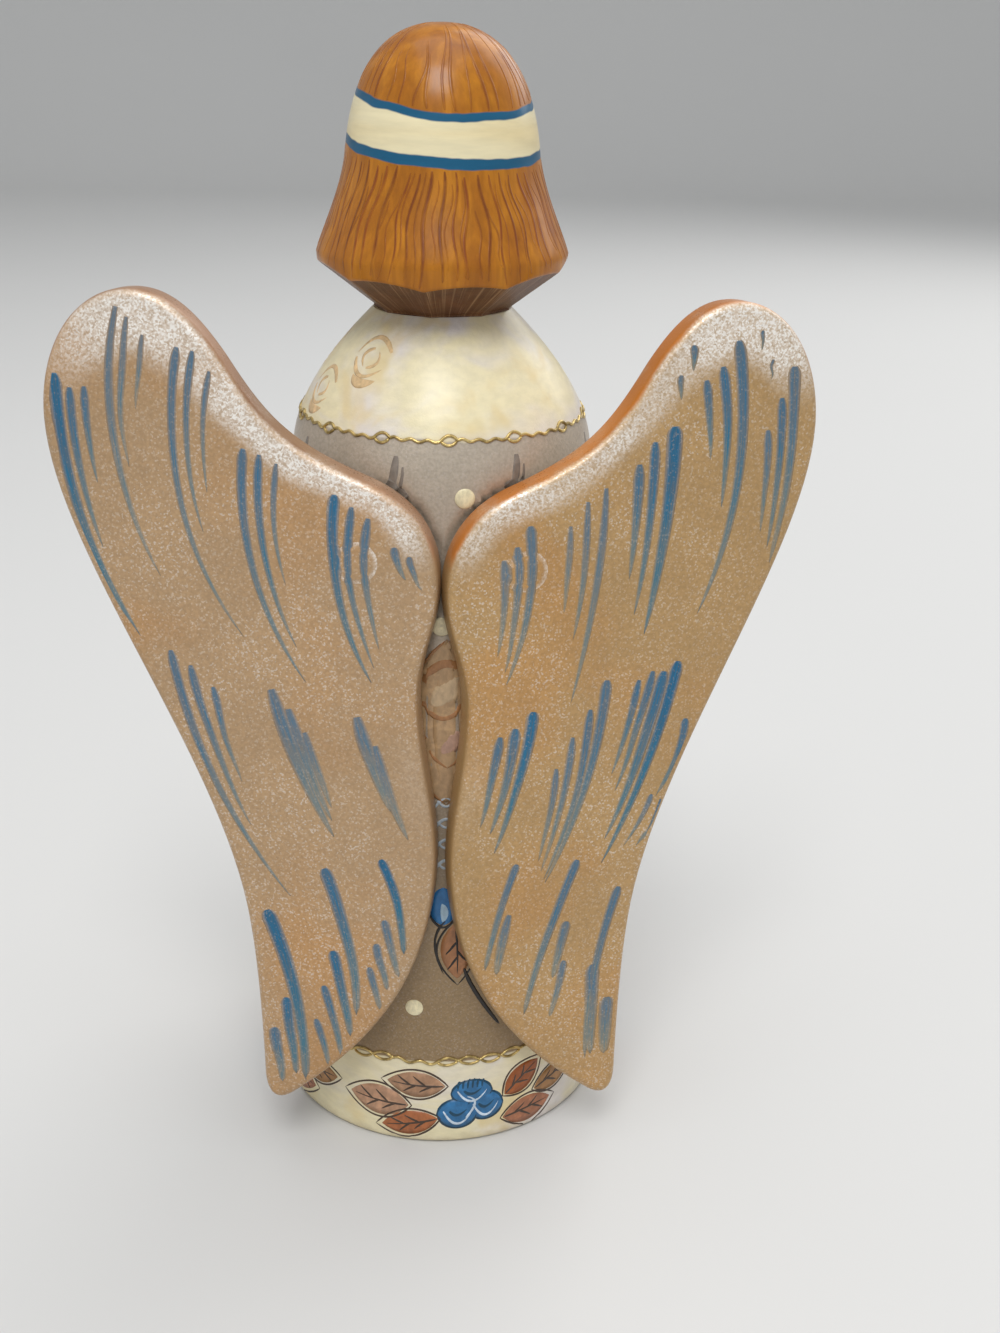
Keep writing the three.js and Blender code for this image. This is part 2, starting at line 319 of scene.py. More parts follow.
class AngelStage(PropertyGroup):
    """Floor, light and camera"""

    floor: paint("Floor", 0xD2D1CF, "Floor and backdrop")
    camera_back: length("Camera behind", 219.7, "Camera's distance behind the axis")
    camera_height: length("Camera height", 167.3, "Camera's height above the floor")
    camera_pitch: angle("Camera pitch", 23.07, "How far the camera looks down")
    camera_yaw: angle("Camera yaw", -2.48, "Turn of the camera about the vertical")
    camera_roll: angle("Camera roll", 1.09, "Roll of the camera")
    focal_length: FloatProperty(
        name="Focal length", description="Lens on a sensor 36 mm high", default=39.46, unit="CAMERA"
    )


# Curves and meshes
def bezier(start, first, second, end, count):
    """Points along a curve with two handles, without its start."""
    points = []
    for step in range(1, count + 1):
        t = step / count
        s = 1 - t
        weights = (s * s * s, 3 * s * s * t, 3 * s * t * t, t * t * t)
        axes = zip(start, first, second, end)
        points.append(tuple(sum(w * v for w, v in zip(weights, axis)) for axis in axes))
    return points


def eased(start, end, handles, count):
    """A curve to a point whose handles are shares of the way there."""
    first, second = (
        tuple(a + (b - a) * share for a, b, share in zip(start, end, handle)) for handle in handles
    )
    return bezier(start, first, second, end, count)


def straight(start, end, count):
    """Points along a line, without its start."""
    steps = range(1, count + 1)
    return [tuple(a + (b - a) * step / count for a, b in zip(start, end)) for step in steps]


def swell(value, low, high):
    """Smooth step from 0 at low to 1 at high."""
    share = min(1, max(0, (value - low) / (high - low)))
    return share * share * (3 - 2 * share)


def circle(count):
    """Angles evenly round a circle."""
    return [2 * math.pi * number / count for number in range(count)]


def mesh_object(name, points, faces):
    """A smooth mesh in the scene."""
    mesh = bpy.data.meshes.new(name)
    mesh.from_pydata(points, [], faces)
    mesh.shade_smooth()
    made = bpy.data.objects.new(name, mesh)
    bpy.context.scene.collection.objects.link(made)
    return made


def closed_skin(name, top, columns, bottom):
    """A closed mesh between two poles from columns that run counterclockwise, seen from above."""
    rows = len(columns[0])
    points = [top, *(point for column in columns for point in column), bottom]
    last = len(points) - 1
    faces = []
    for number in range(len(columns)):
        here = 1 + number * rows
        there = 1 + (number + 1) % len(columns) * rows
        faces.append((0, here, there))
        faces += [(here + row, here + row + 1, there + row + 1, there + row) for row in range(rows - 1)]
        faces.append((here + rows - 1, last, there + rows - 1))
    return mesh_object(name, points, faces)


def turned(name, profile, columns):
    """A profile of radius and height, from the top of the axis to its bottom, turned about Z."""
    rows = profile[1:-1]
    sides = []
    for a in circle(columns):
        sides.append([(radius * math.cos(a), radius * math.sin(a), height) for radius, height in rows])
    return closed_skin(name, (0, 0, profile[0][1]), sides, (0, 0, profile[-1][1]))


def ball(name, sizes, centre):
    """An egg of the given width, depth and length."""
    arc = [math.pi * row / BALL_ROWS for row in range(BALL_ROWS + 1)]
    made = turned(name, [(math.sin(b), math.cos(b)) for b in arc], BALL_COLUMNS)
    made.data.transform(Matrix.Translation(centre) @ Matrix.Diagonal((*(size / 2 for size in sizes), 1)))
    return made


def rod(name, radius, low, high, columns=HOLE_SIDES):
    """A plain cylinder along Z."""
    return turned(name, [(0, high), (radius, high), (radius, low), (0, low)], columns)


def keep_result(piece):
    """Turns what a piece's modifiers make into its plain mesh."""
    graph = bpy.context.evaluated_depsgraph_get()
    mesh = bpy.data.meshes.new_from_object(piece.evaluated_get(graph))
    piece.modifiers.clear()
    old = piece.data
    piece.data = mesh
    bpy.data.meshes.remove(old)


def carve(piece, tool, operation):
    """Cuts a tool out of a piece or joins it on, and removes the tool."""
    modifier = piece.modifiers.new("carve", "BOOLEAN")
    modifier.operation = operation
    modifier.solver = "EXACT"
    modifier.material_mode = "INDEX"
    modifier.object = tool
    keep_result(piece)
    bpy.data.objects.remove(tool)


def mark(piece, name, values, kind="FLOAT"):
    """Writes one value, vector or colour for each point of a piece."""
    field = {"FLOAT": "value", "FLOAT_VECTOR": "vector", "FLOAT_COLOR": "color"}[kind]
    layer = piece.data.attributes.new(name, kind, "POINT")
    layer.data.foreach_set(field, np.array(values, np.float32).ravel())


def crisp(piece, degrees):
    """Shades a piece smooth but for edges sharper than an angle."""
    piece.data.shade_smooth()
    piece.data.set_sharp_from_angle(angle=math.radians(degrees))


def coat(piece, *finishes):
    """Gives a piece its materials, in order."""
    piece.data.materials.clear()
    for finish in finishes:
        piece.data.materials.append(finish)


def settle(piece, slot, *nodes):
    """Puts a finished piece on the figure, for the CAD nodes that it stands for."""
    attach(piece, "root")
    if nodes:
        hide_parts(*nodes)


# Node trees
class Wire:
    """What a node puts out, which can be reckoned with like a number."""

    def __init__(self, socket):
        self.socket = socket
        self.tree = socket.id_data

    def maths(self, operation, *values):
        """A sum that starts with this number."""
        return wire(self.tree, "ShaderNodeMath", (self, *values), operation=operation)

    def __add__(self, other):
        return self.maths("ADD", other)

    def __sub__(self, other):
        return self.maths("SUBTRACT", other)

    def __rsub__(self, other):
        return self.maths("MULTIPLY_ADD", -1, other)

    def __mul__(self, other):
        return self.maths("MULTIPLY", other)

    def __truediv__(self, other):
        return self.maths("DIVIDE", other)

    def __pow__(self, other):
        return self.maths("POWER", other)

    def __abs__(self):
        return self.maths("ABSOLUTE")


def feed(socket, value):
    """Feeds an input with a wire or with a plain value."""
    if isinstance(value, Wire):
        value.tree.links.new(value.socket, socket)
    elif socket.type == "RGBA":
        socket.default_value = (*value[:3], 1)
    else:
        socket.default_value = value


def add(tree, kind, values=(), **settings):
    """Adds a node with its settings, and feeds its inputs by place or by name."""
    made = tree.nodes.new(kind)
    for key, value in settings.items():
        setattr(made, key, value)
    for key, value in values.items() if isinstance(values, dict) else enumerate(values):
        feed(made.inputs[key], value)
    return made


def wire(tree, kind, values=(), output=0, **settings):
    """Adds a node and takes one of its outputs."""
    return Wire(add(tree, kind, values, **settings).outputs[output])


def vectors(operation, *values):
    """One sum of vectors, of which the first is a wire."""
    return wire(values[0].tree, "ShaderNodeVectorMath", values, operation=operation)


def scaled(vector, factor):
    """A vector or colour times a number."""
    return wire(vector.tree, "ShaderNodeVectorMath", {0: vector, "Scale": factor}, operation="SCALE")


def parts(vector):
    """The three numbers of a vector."""
    return [Wire(socket) for socket in add(vector.tree, "ShaderNodeSeparateXYZ", [vector]).outputs]


def joined(x, y, z):
    """A vector from three numbers, of which the first is a wire."""
    return wire(x.tree, "ShaderNodeCombineXYZ", [x, y, z])


def clamped(value):
    """A number kept between 0 and 1."""
    return wire(value.tree, "ShaderNodeClamp", [value])


def ramp(value, low, high, start=0.0, end=1.0):
    """Smooth step of a number between two values."""
    limits = (value, low, high, start, end)
    return wire(value.tree, "ShaderNodeMapRange", limits, interpolation_type="SMOOTHSTEP")


def mixed(share, first, second, kind="RGBA"):
    """One colour over another by a share, or one number or vector."""
    output, place = {"FLOAT": (0, 2), "VECTOR": (1, 4), "RGBA": (2, 6)}[kind]
    values = {0: share, place: first, place + 1: second}
    return wire(share.tree, "ShaderNodeMix", values, output, data_type=kind)


def shaded(share, colour, dark, bright):
    """A colour made darker or brighter by a share."""
    return mixed(share, scaled(colour, dark), scaled(colour, bright))


def scaled_colour(colour, factor):
    """A plain colour made darker or brighter."""
    return tuple(min(1, channel * factor) for channel in colour)


def clouds(vector, scale, detail=2.0, roughness=0.5, distortion=0.0):
    """Soft random shade."""
    values = {"Vector": vector, "Scale": scale, "Detail": detail}
    values |= {"Roughness": roughness, "Distortion": distortion}
    return wire(vector.tree, "ShaderNodeTexNoise", values)


def wander(vector, scale, detail, reach):
    """A soft random shift either way."""
    return (clouds(vector, scale, detail) - 0.5) * reach


def cells(vector, scale):
    """A random shade for each grain of a fine ground."""
    grains = wire(vector.tree, "ShaderNodeTexVoronoi", {"Vector": vector, "Scale": scale}, "Color")
    return wire(vector.tree, "ShaderNodeSeparateColor", [grains])


def new_tree(name, kind, inputs, outputs):
    """An empty node group with named sockets, its inputs as wires and its output node's sockets."""
    tree = bpy.data.node_groups.new(name, kind)
    for way, sockets in (("INPUT", inputs), ("OUTPUT", outputs)):
        for label, socket in sockets.items():
            tree.interface.new_socket(label, in_out=way, socket_type="NodeSocket" + socket)
    given = tree.nodes.new("NodeGroupInput").outputs
    wires = {label: Wire(given[label]) for label in inputs}
    return tree, wires, tree.nodes.new("NodeGroupOutput").inputs


def shared(build):
    """Makes a node group once, under the name of the function that builds it."""

    def found():
        return bpy.data.node_groups.get(build.__name__) or build(build.__name__)

    return found


def grow(piece, tree, **values):
    """Runs a Geometry Nodes tree on a piece and keeps its result as a plain mesh."""
    modifier = piece.modifiers.new(tree.name, "NODES")
    modifier.node_group = tree
    for item in tree.interface.items_tree:
        key = item.name.replace(" ", "_").lower()
        if item.in_out == "INPUT" and key in values:
            modifier[item.identifier] = values[key]
    keep_result(piece)


# Shared effects of the finishes
@shared
def pearl_paint(name):
    """Pearl paint: a clouded ground with fine bright grains as painted glints, and a paler colour that
    gathers in a band, partly pale paint and partly painted highlight.
    """
    inputs = {"Vector": "Vector", "Ground": "Color", "Light": "Color", "Band": "Float", "Glitter": "Float"}
    outputs = {"Color": "Color", "Roughness": "Float", "Height": "Float"}
    tree, given, made = new_tree(name, "ShaderNodeTree", inputs, outputs)
    grain = cells(given["Vector"], GRAINS)
    dust = clouds(given["Vector"], 2200, 2)
    haze = clouds(given["Vector"], 75, 3, 0.6)
    ground = shaded(ramp(haze, 0.3, 0.7), given["Ground"], 0.93, 1.04)
    ground = shaded(ramp(dust, 0.25, 0.75), ground, 0.9, 1.1)
    # Painted glints: single grains turned towards the pale colour
    painted_glint = ramp(grain, 0.72, 1) * ramp(haze, 0.35, 0.62, 0.4, 1) * given["Glitter"]
    flake = ramp(grain, 0.25, 0.9) + ramp(dust, 0.3, 0.7, 0, 0.6)
    # Painted highlight in the band, flecked by the grains
    light = clamped(flake * given["Band"] * 0.62 + given["Band"] * 0.24)
    share = (painted_glint * 0.36).maths("MAXIMUM", light)
    feed(made["Color"], mixed(share, ground, given["Light"]))
    feed(made["Roughness"], ramp(painted_glint, 0, 1, 0.44, 0.26))
    feed(made["Height"], grain * 0.6 + dust)
    return tree


@shared
def brushed_paint(name):
    """Brushed paint: fine streaks along one direction over slow drifts of a second colour."""
    inputs = {"Vector": "Vector", "Ground": "Color", "Drift": "Color", "Amount": "Float"}
    tree, given, made = new_tree(name, "ShaderNodeTree", inputs, {"Color": "Color", "Height": "Float"})
    streak = clouds(given["Vector"], 1, 4, 0.6)
    drift = clouds(scaled(given["Vector"], 0.13), 1, 3, 0.55, 0.6)
    share = ramp(drift, 0.42, 0.68) * given["Amount"]
    ground = mixed(share, given["Ground"], given["Drift"])
    feed(made["Color"], shaded(ramp(streak, 0.25, 0.75), ground, 0.93, 1.05))
    feed(made["Height"], streak)
    return tree


@shared
def stained_grain(name):
    """Wood under stain: dark and light fibres along Z."""
    inputs = {"Vector": "Vector", "Stain": "Color", "Bright": "Color", "Dark": "Color"}
    tree, given, made = new_tree(name, "ShaderNodeTree", inputs, {"Color": "Color", "Height": "Float"})
    along = vectors("MULTIPLY", given["Vector"], (1, 1, 0.09))
    fibre = clouds(along, 1500, 3, 0.6)
    streak = clouds(along, 330, 3, 0.55, 0.4)
    colour = mixed(ramp(streak, 0.4, 0.72), given["Stain"], given["Bright"])
    colour = mixed(ramp(streak, 0.42, 0.2, 0, 0.55), colour, given["Dark"])
    feed(made["Color"], shaded(ramp(fibre, 0.3, 0.7), colour, 0.9, 1.05))
    feed(made["Height"], fibre * 0.5 + streak)
    return tree


def placed(group, vector, **values):
    """A shared effect in a material, and what it gives by name."""
    values = {key.capitalize(): value for key, value in values.items()}
    made = add(vector.tree, "ShaderNodeGroup", {"Vector": vector, **values}, node_tree=group)
    return {socket.name: Wire(socket) for socket in made.outputs}


def stained(where, colour, bright, dark):
    """Wood grain about one colour."""
    shades = {"bright": scaled_colour(colour, bright), "dark": scaled_colour(colour, dark)}
    return placed(stained_grain(), where, stain=colour, **shades)


def hair_ground(where, colours):
    """Stained hair, brighter in some locks."""
    shades = {"stain": colours.ochre, "bright": colours.amber, "dark": colours.chestnut}
    return placed(stained_grain(), where, **shades)


def attribute(where, name, output="Fac"):
    """A value that a mesh carries on its points."""
    return wire(where.tree, "ShaderNodeAttribute", output=output, attribute_name=name)


def new_finish(name, roughness, metallic=0.0, varnish=0.0, shine=0.35):
    """A material, its shader's inputs and the object's own coordinates."""
    finish = bpy.data.materials.new(name)
    finish.use_nodes = True
    shader = finish.node_tree.nodes["Principled BSDF"].inputs
    shader["Roughness"].default_value = roughness
    shader["Metallic"].default_value = metallic
    shader["Coat Weight"].default_value = varnish
    shader["Coat Roughness"].default_value = 0.22
    shader["Specular IOR Level"].default_value = shine
    return finish, shader, wire(finish.node_tree, "ShaderNodeTexCoord", output="Object")


def relief(shader, height, depth, strength=0.5):
    """Fine bumps on a surface."""
    values = {"Strength": strength, "Distance": depth, "Height": height}
    feed(shader["Normal"], wire(height.tree, "ShaderNodeBump", values))


# Finishes
def dress_finish(dress, colours):
    """Cream shoulders and hem, with pearl taupe between the gold lines that turns to umber towards the hem,
    partly as painted shade.
    """
    finish, shader, where = new_finish("dress_paint", 0.42, varnish=0.25)
    x, y, z = parts(where)
    turn = x.maths("ARCTAN2", y)
    wrap = joined(turn * 9, z * 900, abs(turn))
    cream = placed(brushed_paint(), wrap, ground=colours.cream, drift=colours.lilac, amount=0.8)
    warm = ramp(clouds(where, 95, 3, 0.55, 0.5), 0.52, 0.7, 0, 0.6)
    pale = mixed(warm, cream["Color"], colours.straw)
    # Taupe turns to umber towards the hem: partly the paint's own browner tone, partly painted shade under
    # the wings and where the light falls off lower down
    fall = mixed(ramp(z, 100 * MM, 20 * MM), colours.taupe, colours.umber)
    # Lilac grains on the taupe are painted glints of its pearl
    pearl = placed(pearl_paint(), where, ground=fall, light=colours.lilac, band=0.0, glitter=0.35)
    level = z + wander(where, 260, 2, 1.2 * MM)
    soft = 0.2 * MM
    upper = ramp(level, dress.upper_line - soft, dress.upper_line + soft)
    lower = ramp(level, dress.lower_line + soft, dress.lower_line - soft)
    zone = upper.maths("MAXIMUM", lower)
    # Darker in the last few millimetres above the floor
    darker_at_foot = ramp(clouds(where, 400, 4) * (4 * MM) + z, 4.5 * MM, 1 * MM, 0, 0.35)
    colour = mixed(zone, pearl["Color"], pale)
    feed(shader["Base Color"], mixed(darker_at_foot, colour, colours.umber))
    feed(shader["Roughness"], ramp(zone, 0, 1, 0.42, 0.36))
    feed(shader["Metallic"], ramp(zone, 0, 1, 0.22, 0))
    relief(shader, cream["Height"] + pearl["Height"], 0.04 * MM)
    return finish


def hair_finish(head, colours):
    """Golden hair with a cream headband between two blue lines."""
    finish, shader, where = new_finish("hair_paint", 0.4, varnish=0.5, shine=0.1)
    x, y, z = parts(where)
    hair = hair_ground(where, colours)
    level = x * -BAND_LEAN + (z + wander(where, 160, 2, 1.1 * MM))
    low = y * BAND_DIP + level
    high = y * BAND_CROWN_DIP + level
    bottom = head.seat + head.band_low
    top = head.seat + head.band_high
    lower_line = bottom + head.band_line
    upper_line = top - head.band_line * 0.75
    soft = 0.12 * MM
    banded = ramp(low, bottom - soft, bottom + soft) * ramp(high, top + soft, top - soft)
    lines = ramp(low, lower_line + soft, lower_line - soft)
    lines = lines.maths("MAXIMUM", ramp(high, upper_line - soft, upper_line + soft))
    along = vectors("MULTIPLY", where, (130, 130, 900))
    cream = placed(brushed_paint(), along, ground=colours.cream, drift=colours.straw, amount=0.5)
    navy = scaled_colour(colours.blue, 0.7)
    blue = placed(brushed_paint(), along, ground=colours.blue, drift=navy, amount=0.8)
    band = mixed(lines, cream["Color"], blue["Color"])
    feed(shader["Base Color"], mixed(banded, hair["Color"], band))
    relief(shader, mixed(banded, hair["Height"], cream["Height"], "FLOAT"), 0.05 * MM)
    return finish


def underside_finish(colours):
    """Dark knife-cut underside of the hair with lighter scratches."""
    finish, shader, where = new_finish("hair_underside", 0.5, varnish=0.1, shine=0.15)
    x, y, z = parts(where)
    scratch = clouds(joined(x.maths("ARCTAN2", y) * 62, z * 70, 0), 1, 3, 0.7, 0.5)
    wood = stained(where, colours.walnut, 1.3, 0.55)
    bare = ramp(scratch, 0.5, 0.68, 0, 0.75)
    feed(shader["Base Color"], mixed(bare, wood["Color"], linear(0x9C7A58)))
    relief(shader, scratch + wood["Height"], 0.12 * MM)
    return finish


def skin_finish(head, colours):
    """Skin paint with rosy cheeks."""
    finish, shader, where = new_finish("skin_paint", 0.42, varnish=0.2)
    x, y, z = parts(where)
    cheek = (4.5 * MM, -12.8 * MM, head.seat + 11.2 * MM)
    ends = (joined(abs(x), y, z), cheek)
    away = wire(where.tree, "ShaderNodeVectorMath", ends, "Value", operation="DISTANCE")
    along = vectors("MULTIPLY", where, (500, 500, 260))
    tan = scaled_colour(colours.skin, 0.93)
    skin = placed(brushed_paint(), along, ground=colours.skin, drift=tan, amount=0.6)
    blush = ramp(clouds(where, 700, 3) * (1.2 * MM) + away, 4.6 * MM, 1.2 * MM, 0, 0.3)
    feed(shader["Base Color"], mixed(blush, skin["Color"], colours.rose))
    relief(shader, skin["Height"], 0.03 * MM)
    return finish


def wing_finish(name, ground, edge, colours):
    """Pearl paint with a bright band at the upper edge, partly pale pearl paint and partly painted
    highlight, and copper on the sawn edge.
    """
    finish, shader, where = new_finish(name, 0.42, 0.25, 0.2)
    upper = attribute(where, "upper")
    away = attribute(where, "edge_distance") + wander(where, 110, 3, 3 * MM)
    # Painted highlight: the band follows the upward-facing edges and widens into a painted sheen towards the
    # top of the wings
    reach = ramp(parts(where)[2], 116 * MM, 134 * MM, 5.2 * MM, 12.5 * MM)
    band = ramp(away / reach, 1, 0.36) * ramp(away, 0, 1.2 * MM, 0.45, 1)
    band = band * ramp(clouds(where, 60, 2), 0.3, 0.6, 0.6, 1) * upper
    warm = mixed(ramp(clouds(where, 42, 2), 0.45, 0.7, 0, 0.45), ground, linear(0xC08A4C))
    pearl = placed(pearl_paint(), where, ground=warm, light=colours.pearl, band=band, glitter=1.0)
    side = wander(where, 180, 3, 0.5) + attribute(where, "side")
    worn = mixed(ramp(clouds(where, 60, 2), 0.35, 0.7), edge, scaled_colour(edge, 0.8))
    worn = mixed(ramp(upper, 0.1, 0.7), scaled_colour(ground, 0.95), worn)
    feed(shader["Base Color"], mixed(ramp(side, 0.72, 1.05), pearl["Color"], worn))
    feed(shader["Roughness"], pearl["Roughness"])
    relief(shader, pearl["Height"], 0.05 * MM, 0.35)
    return finish


def feather_finish(name, ground, colours):
    """Blue strokes that thin out and let the pearl ground through."""
    finish, shader, where = new_finish(name, 0.4, 0.1, 0.25)
    labels = ("along", "across", "phase", "cover")
    along, across, phase, strength = (attribute(where, label) for label in labels)
    streak = clouds(joined(along * 3, across * 2.6, phase), 1.6, 4, 0.65)
    uneven = streak - 0.5
    pearl = placed(pearl_paint(), where, ground=ground, light=colours.pearl, band=0.0, glitter=0.7)
    cover = strength * 0.75 + 0.3 - along ** 2 * 0.3
    cover = clamped(cover + uneven * (along * 0.9 + 0.8))
    edge = ramp(uneven * 0.9 + abs(across), 0.42, 1.1, 1, 0.2)
    grains = ramp(cells(where, GRAINS), 0.8, 1, 1, 0.8)
    dark, bright = (scaled_colour(colours.blue, factor) for factor in (0.85, 1.5))
    blue = mixed(ramp(streak, 0.3, 0.7), dark, bright)
    pale = clamped(ramp(along, 0.1, 0.9, 0, 0.6) + (1 - strength) * 0.4)
    blue = mixed(pale, blue, colours.teal)
    feed(shader["Base Color"], mixed(cover * edge * grains, pearl["Color"], blue))
    relief(shader, streak + pearl["Height"], 0.05 * MM)
    return finish


def strand_finish(colours):
    """Strands of hair that run out into the stain."""
    finish, shader, where = new_finish("strand_paint", 0.4, varnish=0.5, shine=0.1)
    hair = hair_ground(where, colours)
    thin = ramp(attribute(where, "along"), 0.7, 1, 0, 0.45)
    edge = ramp(abs(attribute(where, "across")), 0.25, 1, 1, 0.2)
    patchy = ramp(clouds(where, 420, 3), 0.3, 0.6, 0.55, 1)
    cover = clamped(attribute(where, "cover") * edge * patchy - thin)
    feed(shader["Base Color"], mixed(cover, hair["Color"], attribute(where, "colour", "Color")))
    relief(shader, hair["Height"], 0.05 * MM)
    return finish


def ornament_finish():
    """Brushwork of the painted ornament, each stroke in its own colour."""
    known = bpy.data.materials.get("ornament_paint")
    if known:
        return known
    finish, shader, where = new_finish("ornament_paint", 0.38, varnish=0.3)
    colour = attribute(where, "colour", "Color")
    streak = clouds(vectors("MULTIPLY", where, (900, 900, 500)), 1, 4, 0.65)
    shade = shaded(ramp(streak, 0.3, 0.72), colour, 0.78, 1.12)
    patch = ramp(clouds(where, 520, 3, 0.6), 0.5, 0.72, 0, 0.8)
    feed(shader["Base Color"], mixed(patch, shade, scaled(colour, 1.35)))
    relief(shader, streak, 0.04 * MM)
    return finish


def gold_finish(colours):
    """Raised gold, darker and rougher in random cloudy patches."""
    finish, shader, where = new_finish("raised_gold", 0.34, 0.85, 0.1)
    gold_clouds = clouds(where, 520, 3, 0.6)
    fine = clouds(where, 2600, 2)
    bright = mixed(ramp(fine, 0.3, 0.7), scaled_colour(colours.gold, 0.85), colours.gold)
    dull = ramp(gold_clouds, 0.58, 0.38, 0, 0.6)
    feed(shader["Base Color"], mixed(dull, bright, linear(0x5E4A26)))
    feed(shader["Roughness"], ramp(gold_clouds, 0.35, 0.65, 0.52, 0.28))
    relief(shader, gold_clouds + fine, 0.06 * MM)
    return finish


def wood_finish(colours):
    """Bare beech of the dowels."""
    finish, shader, where = new_finish("bare_wood", 0.62)
    wood = stained(where, colours.wood, 1.12, 0.6)
    feed(shader["Base Color"], wood["Color"])
    relief(shader, wood["Height"], 0.1 * MM)
    return finish


# Brushwork as geometry
@dataclass
class Stroke:
    """One brush stroke: its path from start to end past a handle, its width and its paint."""

    start: Vector
    handle: Vector
    end: Vector
    width: float
    colour: tuple
    head: float = 0.1  # share of the length in which the head swells
    tail: float = 0.6  # how early it thins
    petal: float = 0  # above 0 it is a leaf, rounder the smaller
    wave: float = 0
    turns: float = 0
    phase: float = 0
    cover: float = 1
    layer: float = 1


class Surface:
    """The object that paint lies on, inside a Geometry Nodes tree."""

    def __init__(self, tree, carrier):
        self.mesh = wire(tree, "GeometryNodeObjectInfo", {"Object": carrier}, "Geometry")
        self.position = wire(tree, "GeometryNodeInputPosition")
        self.normal = wire(tree, "GeometryNodeInputNormal")

    def nearest(self, value, where):
        """A value of the surface at its point nearest to a place."""
        values = {"Mesh": self.mesh, "Value": value, "Sample Position": where}
        kind = "GeometryNodeSampleNearestSurface"
        return wire(self.mesh.tree, kind, values, data_type="FLOAT_VECTOR")

    def over(self, where, lift):
        """A place lifted off the surface's nearest point."""
        foot = self.nearest(self.position, where)
        return vectors("ADD", foot, scaled(self.nearest(self.normal, where), lift))


def carried(tree, name, kind="FLOAT"):
    """A value that the geometry carries."""
    return wire(tree, "GeometryNodeInputNamedAttribute", {"Name": name}, data_type=kind)


def stored(geometry, name, value, kind="FLOAT"):
    """The geometry with one more value on its points."""
    values = {"Geometry": geometry, "Name": name, "Value": value}
    return wire(geometry.tree, "GeometryNodeStoreNamedAttribute", values, data_type=kind)


def moved(geometry, place):
    """The geometry with its points in new places."""
    return wire(geometry.tree, "GeometryNodeSetPosition", {"Geometry": geometry, "Position": place})


def finished(geometry, given, made):
    """Ends a tree with real geometry in its finish."""
    real = wire(geometry.tree, "GeometryNodeRealizeInstances", [geometry])
    values = {"Geometry": real, "Material": given["Finish"]}
    feed(made[0], wire(geometry.tree, "GeometryNodeSetMaterial", values))


@shared
def brush_strokes(name):
    """Geometry Nodes that lay a thin pad of paint along each stroke, down on what carries it."""
    inputs = {"Points": "Geometry", "Carrier": "Object", "Depth": "Float", "Steps": "Int"}
    inputs["Finish"] = "Material"
    tree, given, made = new_tree(name, "GeometryNodeTree", inputs, {"Brushwork": "Geometry"})
    surface = Surface(tree, given["Carrier"])
    counts = {"Vertices X": given["Steps"], "Vertices Y": PAD_COLUMNS, "Vertices Z": 2}
    pad = wire(tree, "GeometryNodeMeshCube", {"Size": (1, 1, 1), **counts}, "Mesh")
    pad = stored(pad, "place", surface.position, "FLOAT_VECTOR")
    pads = wire(tree, "GeometryNodeInstanceOnPoints", {"Points": given["Points"], "Instance": pad})
    pads = wire(tree, "GeometryNodeRealizeInstances", [pads])

    # Path
    labels = ("place", "start", "handle", "end")
    place, start, handle, end = (carried(tree, label, "FLOAT_VECTOR") for label in labels)
    x, y, z = parts(place)
    petal = carried(tree, "petal")
    is_leaf = petal.maths("GREATER_THAN", 0.001)
    even = x + 0.5
    t = mixed(is_leaf, even ** 1.6, even, "FLOAT")
    rest = 1 - t
    across = y * 2
    first = mixed(t, start, handle, "VECTOR")
    second = mixed(t, handle, end, "VECTOR")
    path = mixed(t, first, second, "VECTOR")
    outward = surface.nearest(surface.normal, path)
    ahead = vectors("SUBTRACT", second, first)
    aside = vectors("NORMALIZE", vectors("CROSS_PRODUCT", outward, ahead))

    # Width along the path
    near = (t / carried(tree, "head")).maths("MINIMUM", 1)
    swelling = (1 - (1 - near) ** 2 * 0.82).maths("SQRT")
    brush = swelling * rest ** carried(tree, "tail")
    leaf = (t * rest * 4) ** petal
    form = mixed(is_leaf, brush, leaf, "FLOAT").maths("MAXIMUM", 0.04)
    half = carried(tree, "width") * 0.5 * form
    swing = t * carried(tree, "turns") * (2 * math.pi) + carried(tree, "phase")
    offset = across * half + swing.maths("SINE") * carried(tree, "wave")
    spread = vectors("ADD", path, scaled(aside, offset))
    spread = vectors("ADD", spread, scaled(outward, 1.5 * MM))

    # Down on the carrier, with a soft edge and its underside just below the surface
    crest = 1 - abs(across) ** 3 * 0.8
    upper = crest * carried(tree, "layer") * given["Depth"]
    lift = mixed(z + 0.5, given["Depth"] * -0.6, upper, "FLOAT")
    pads = stored(stored(pads, "along", t), "across", across)
    finished(moved(pads, surface.over(spread, lift)), given, made)
    return tree


def around(strokes, repeats):
    """Strokes repeated about the axis."""
    made = []
    for a in circle(repeats):
        turn = Matrix.Rotation(a, 3, "Z")
        for stroke in strokes:
            ends = {key: turn @ getattr(stroke, key) for key in ("start", "handle", "end")}
            made.append(replace(stroke, **ends))
    return made


def opaque(colours):
    """Plain colours with nothing showing through."""
    return [(*colour[:3], 1) for colour in colours]


def brushwork(name, strokes, carrier, finish, depth, steps=PAD_STEPS):
    """Strokes as one piece of thin raised paint."""
    piece = mesh_object(name, [stroke.start for stroke in strokes], [])
    for field in fields(Stroke):
        values = [getattr(stroke, field.name) for stroke in strokes]
        kind = {Vector: "FLOAT_VECTOR", tuple: "FLOAT_COLOR"}.get(field.type, "FLOAT")
        mark(piece, field.name, opaque(values) if field.type is tuple else values, kind)
    grow(piece, brush_strokes(), carrier=carrier, depth=depth, steps=steps, finish=finish)
    piece.data.shade_smooth()
    return piece


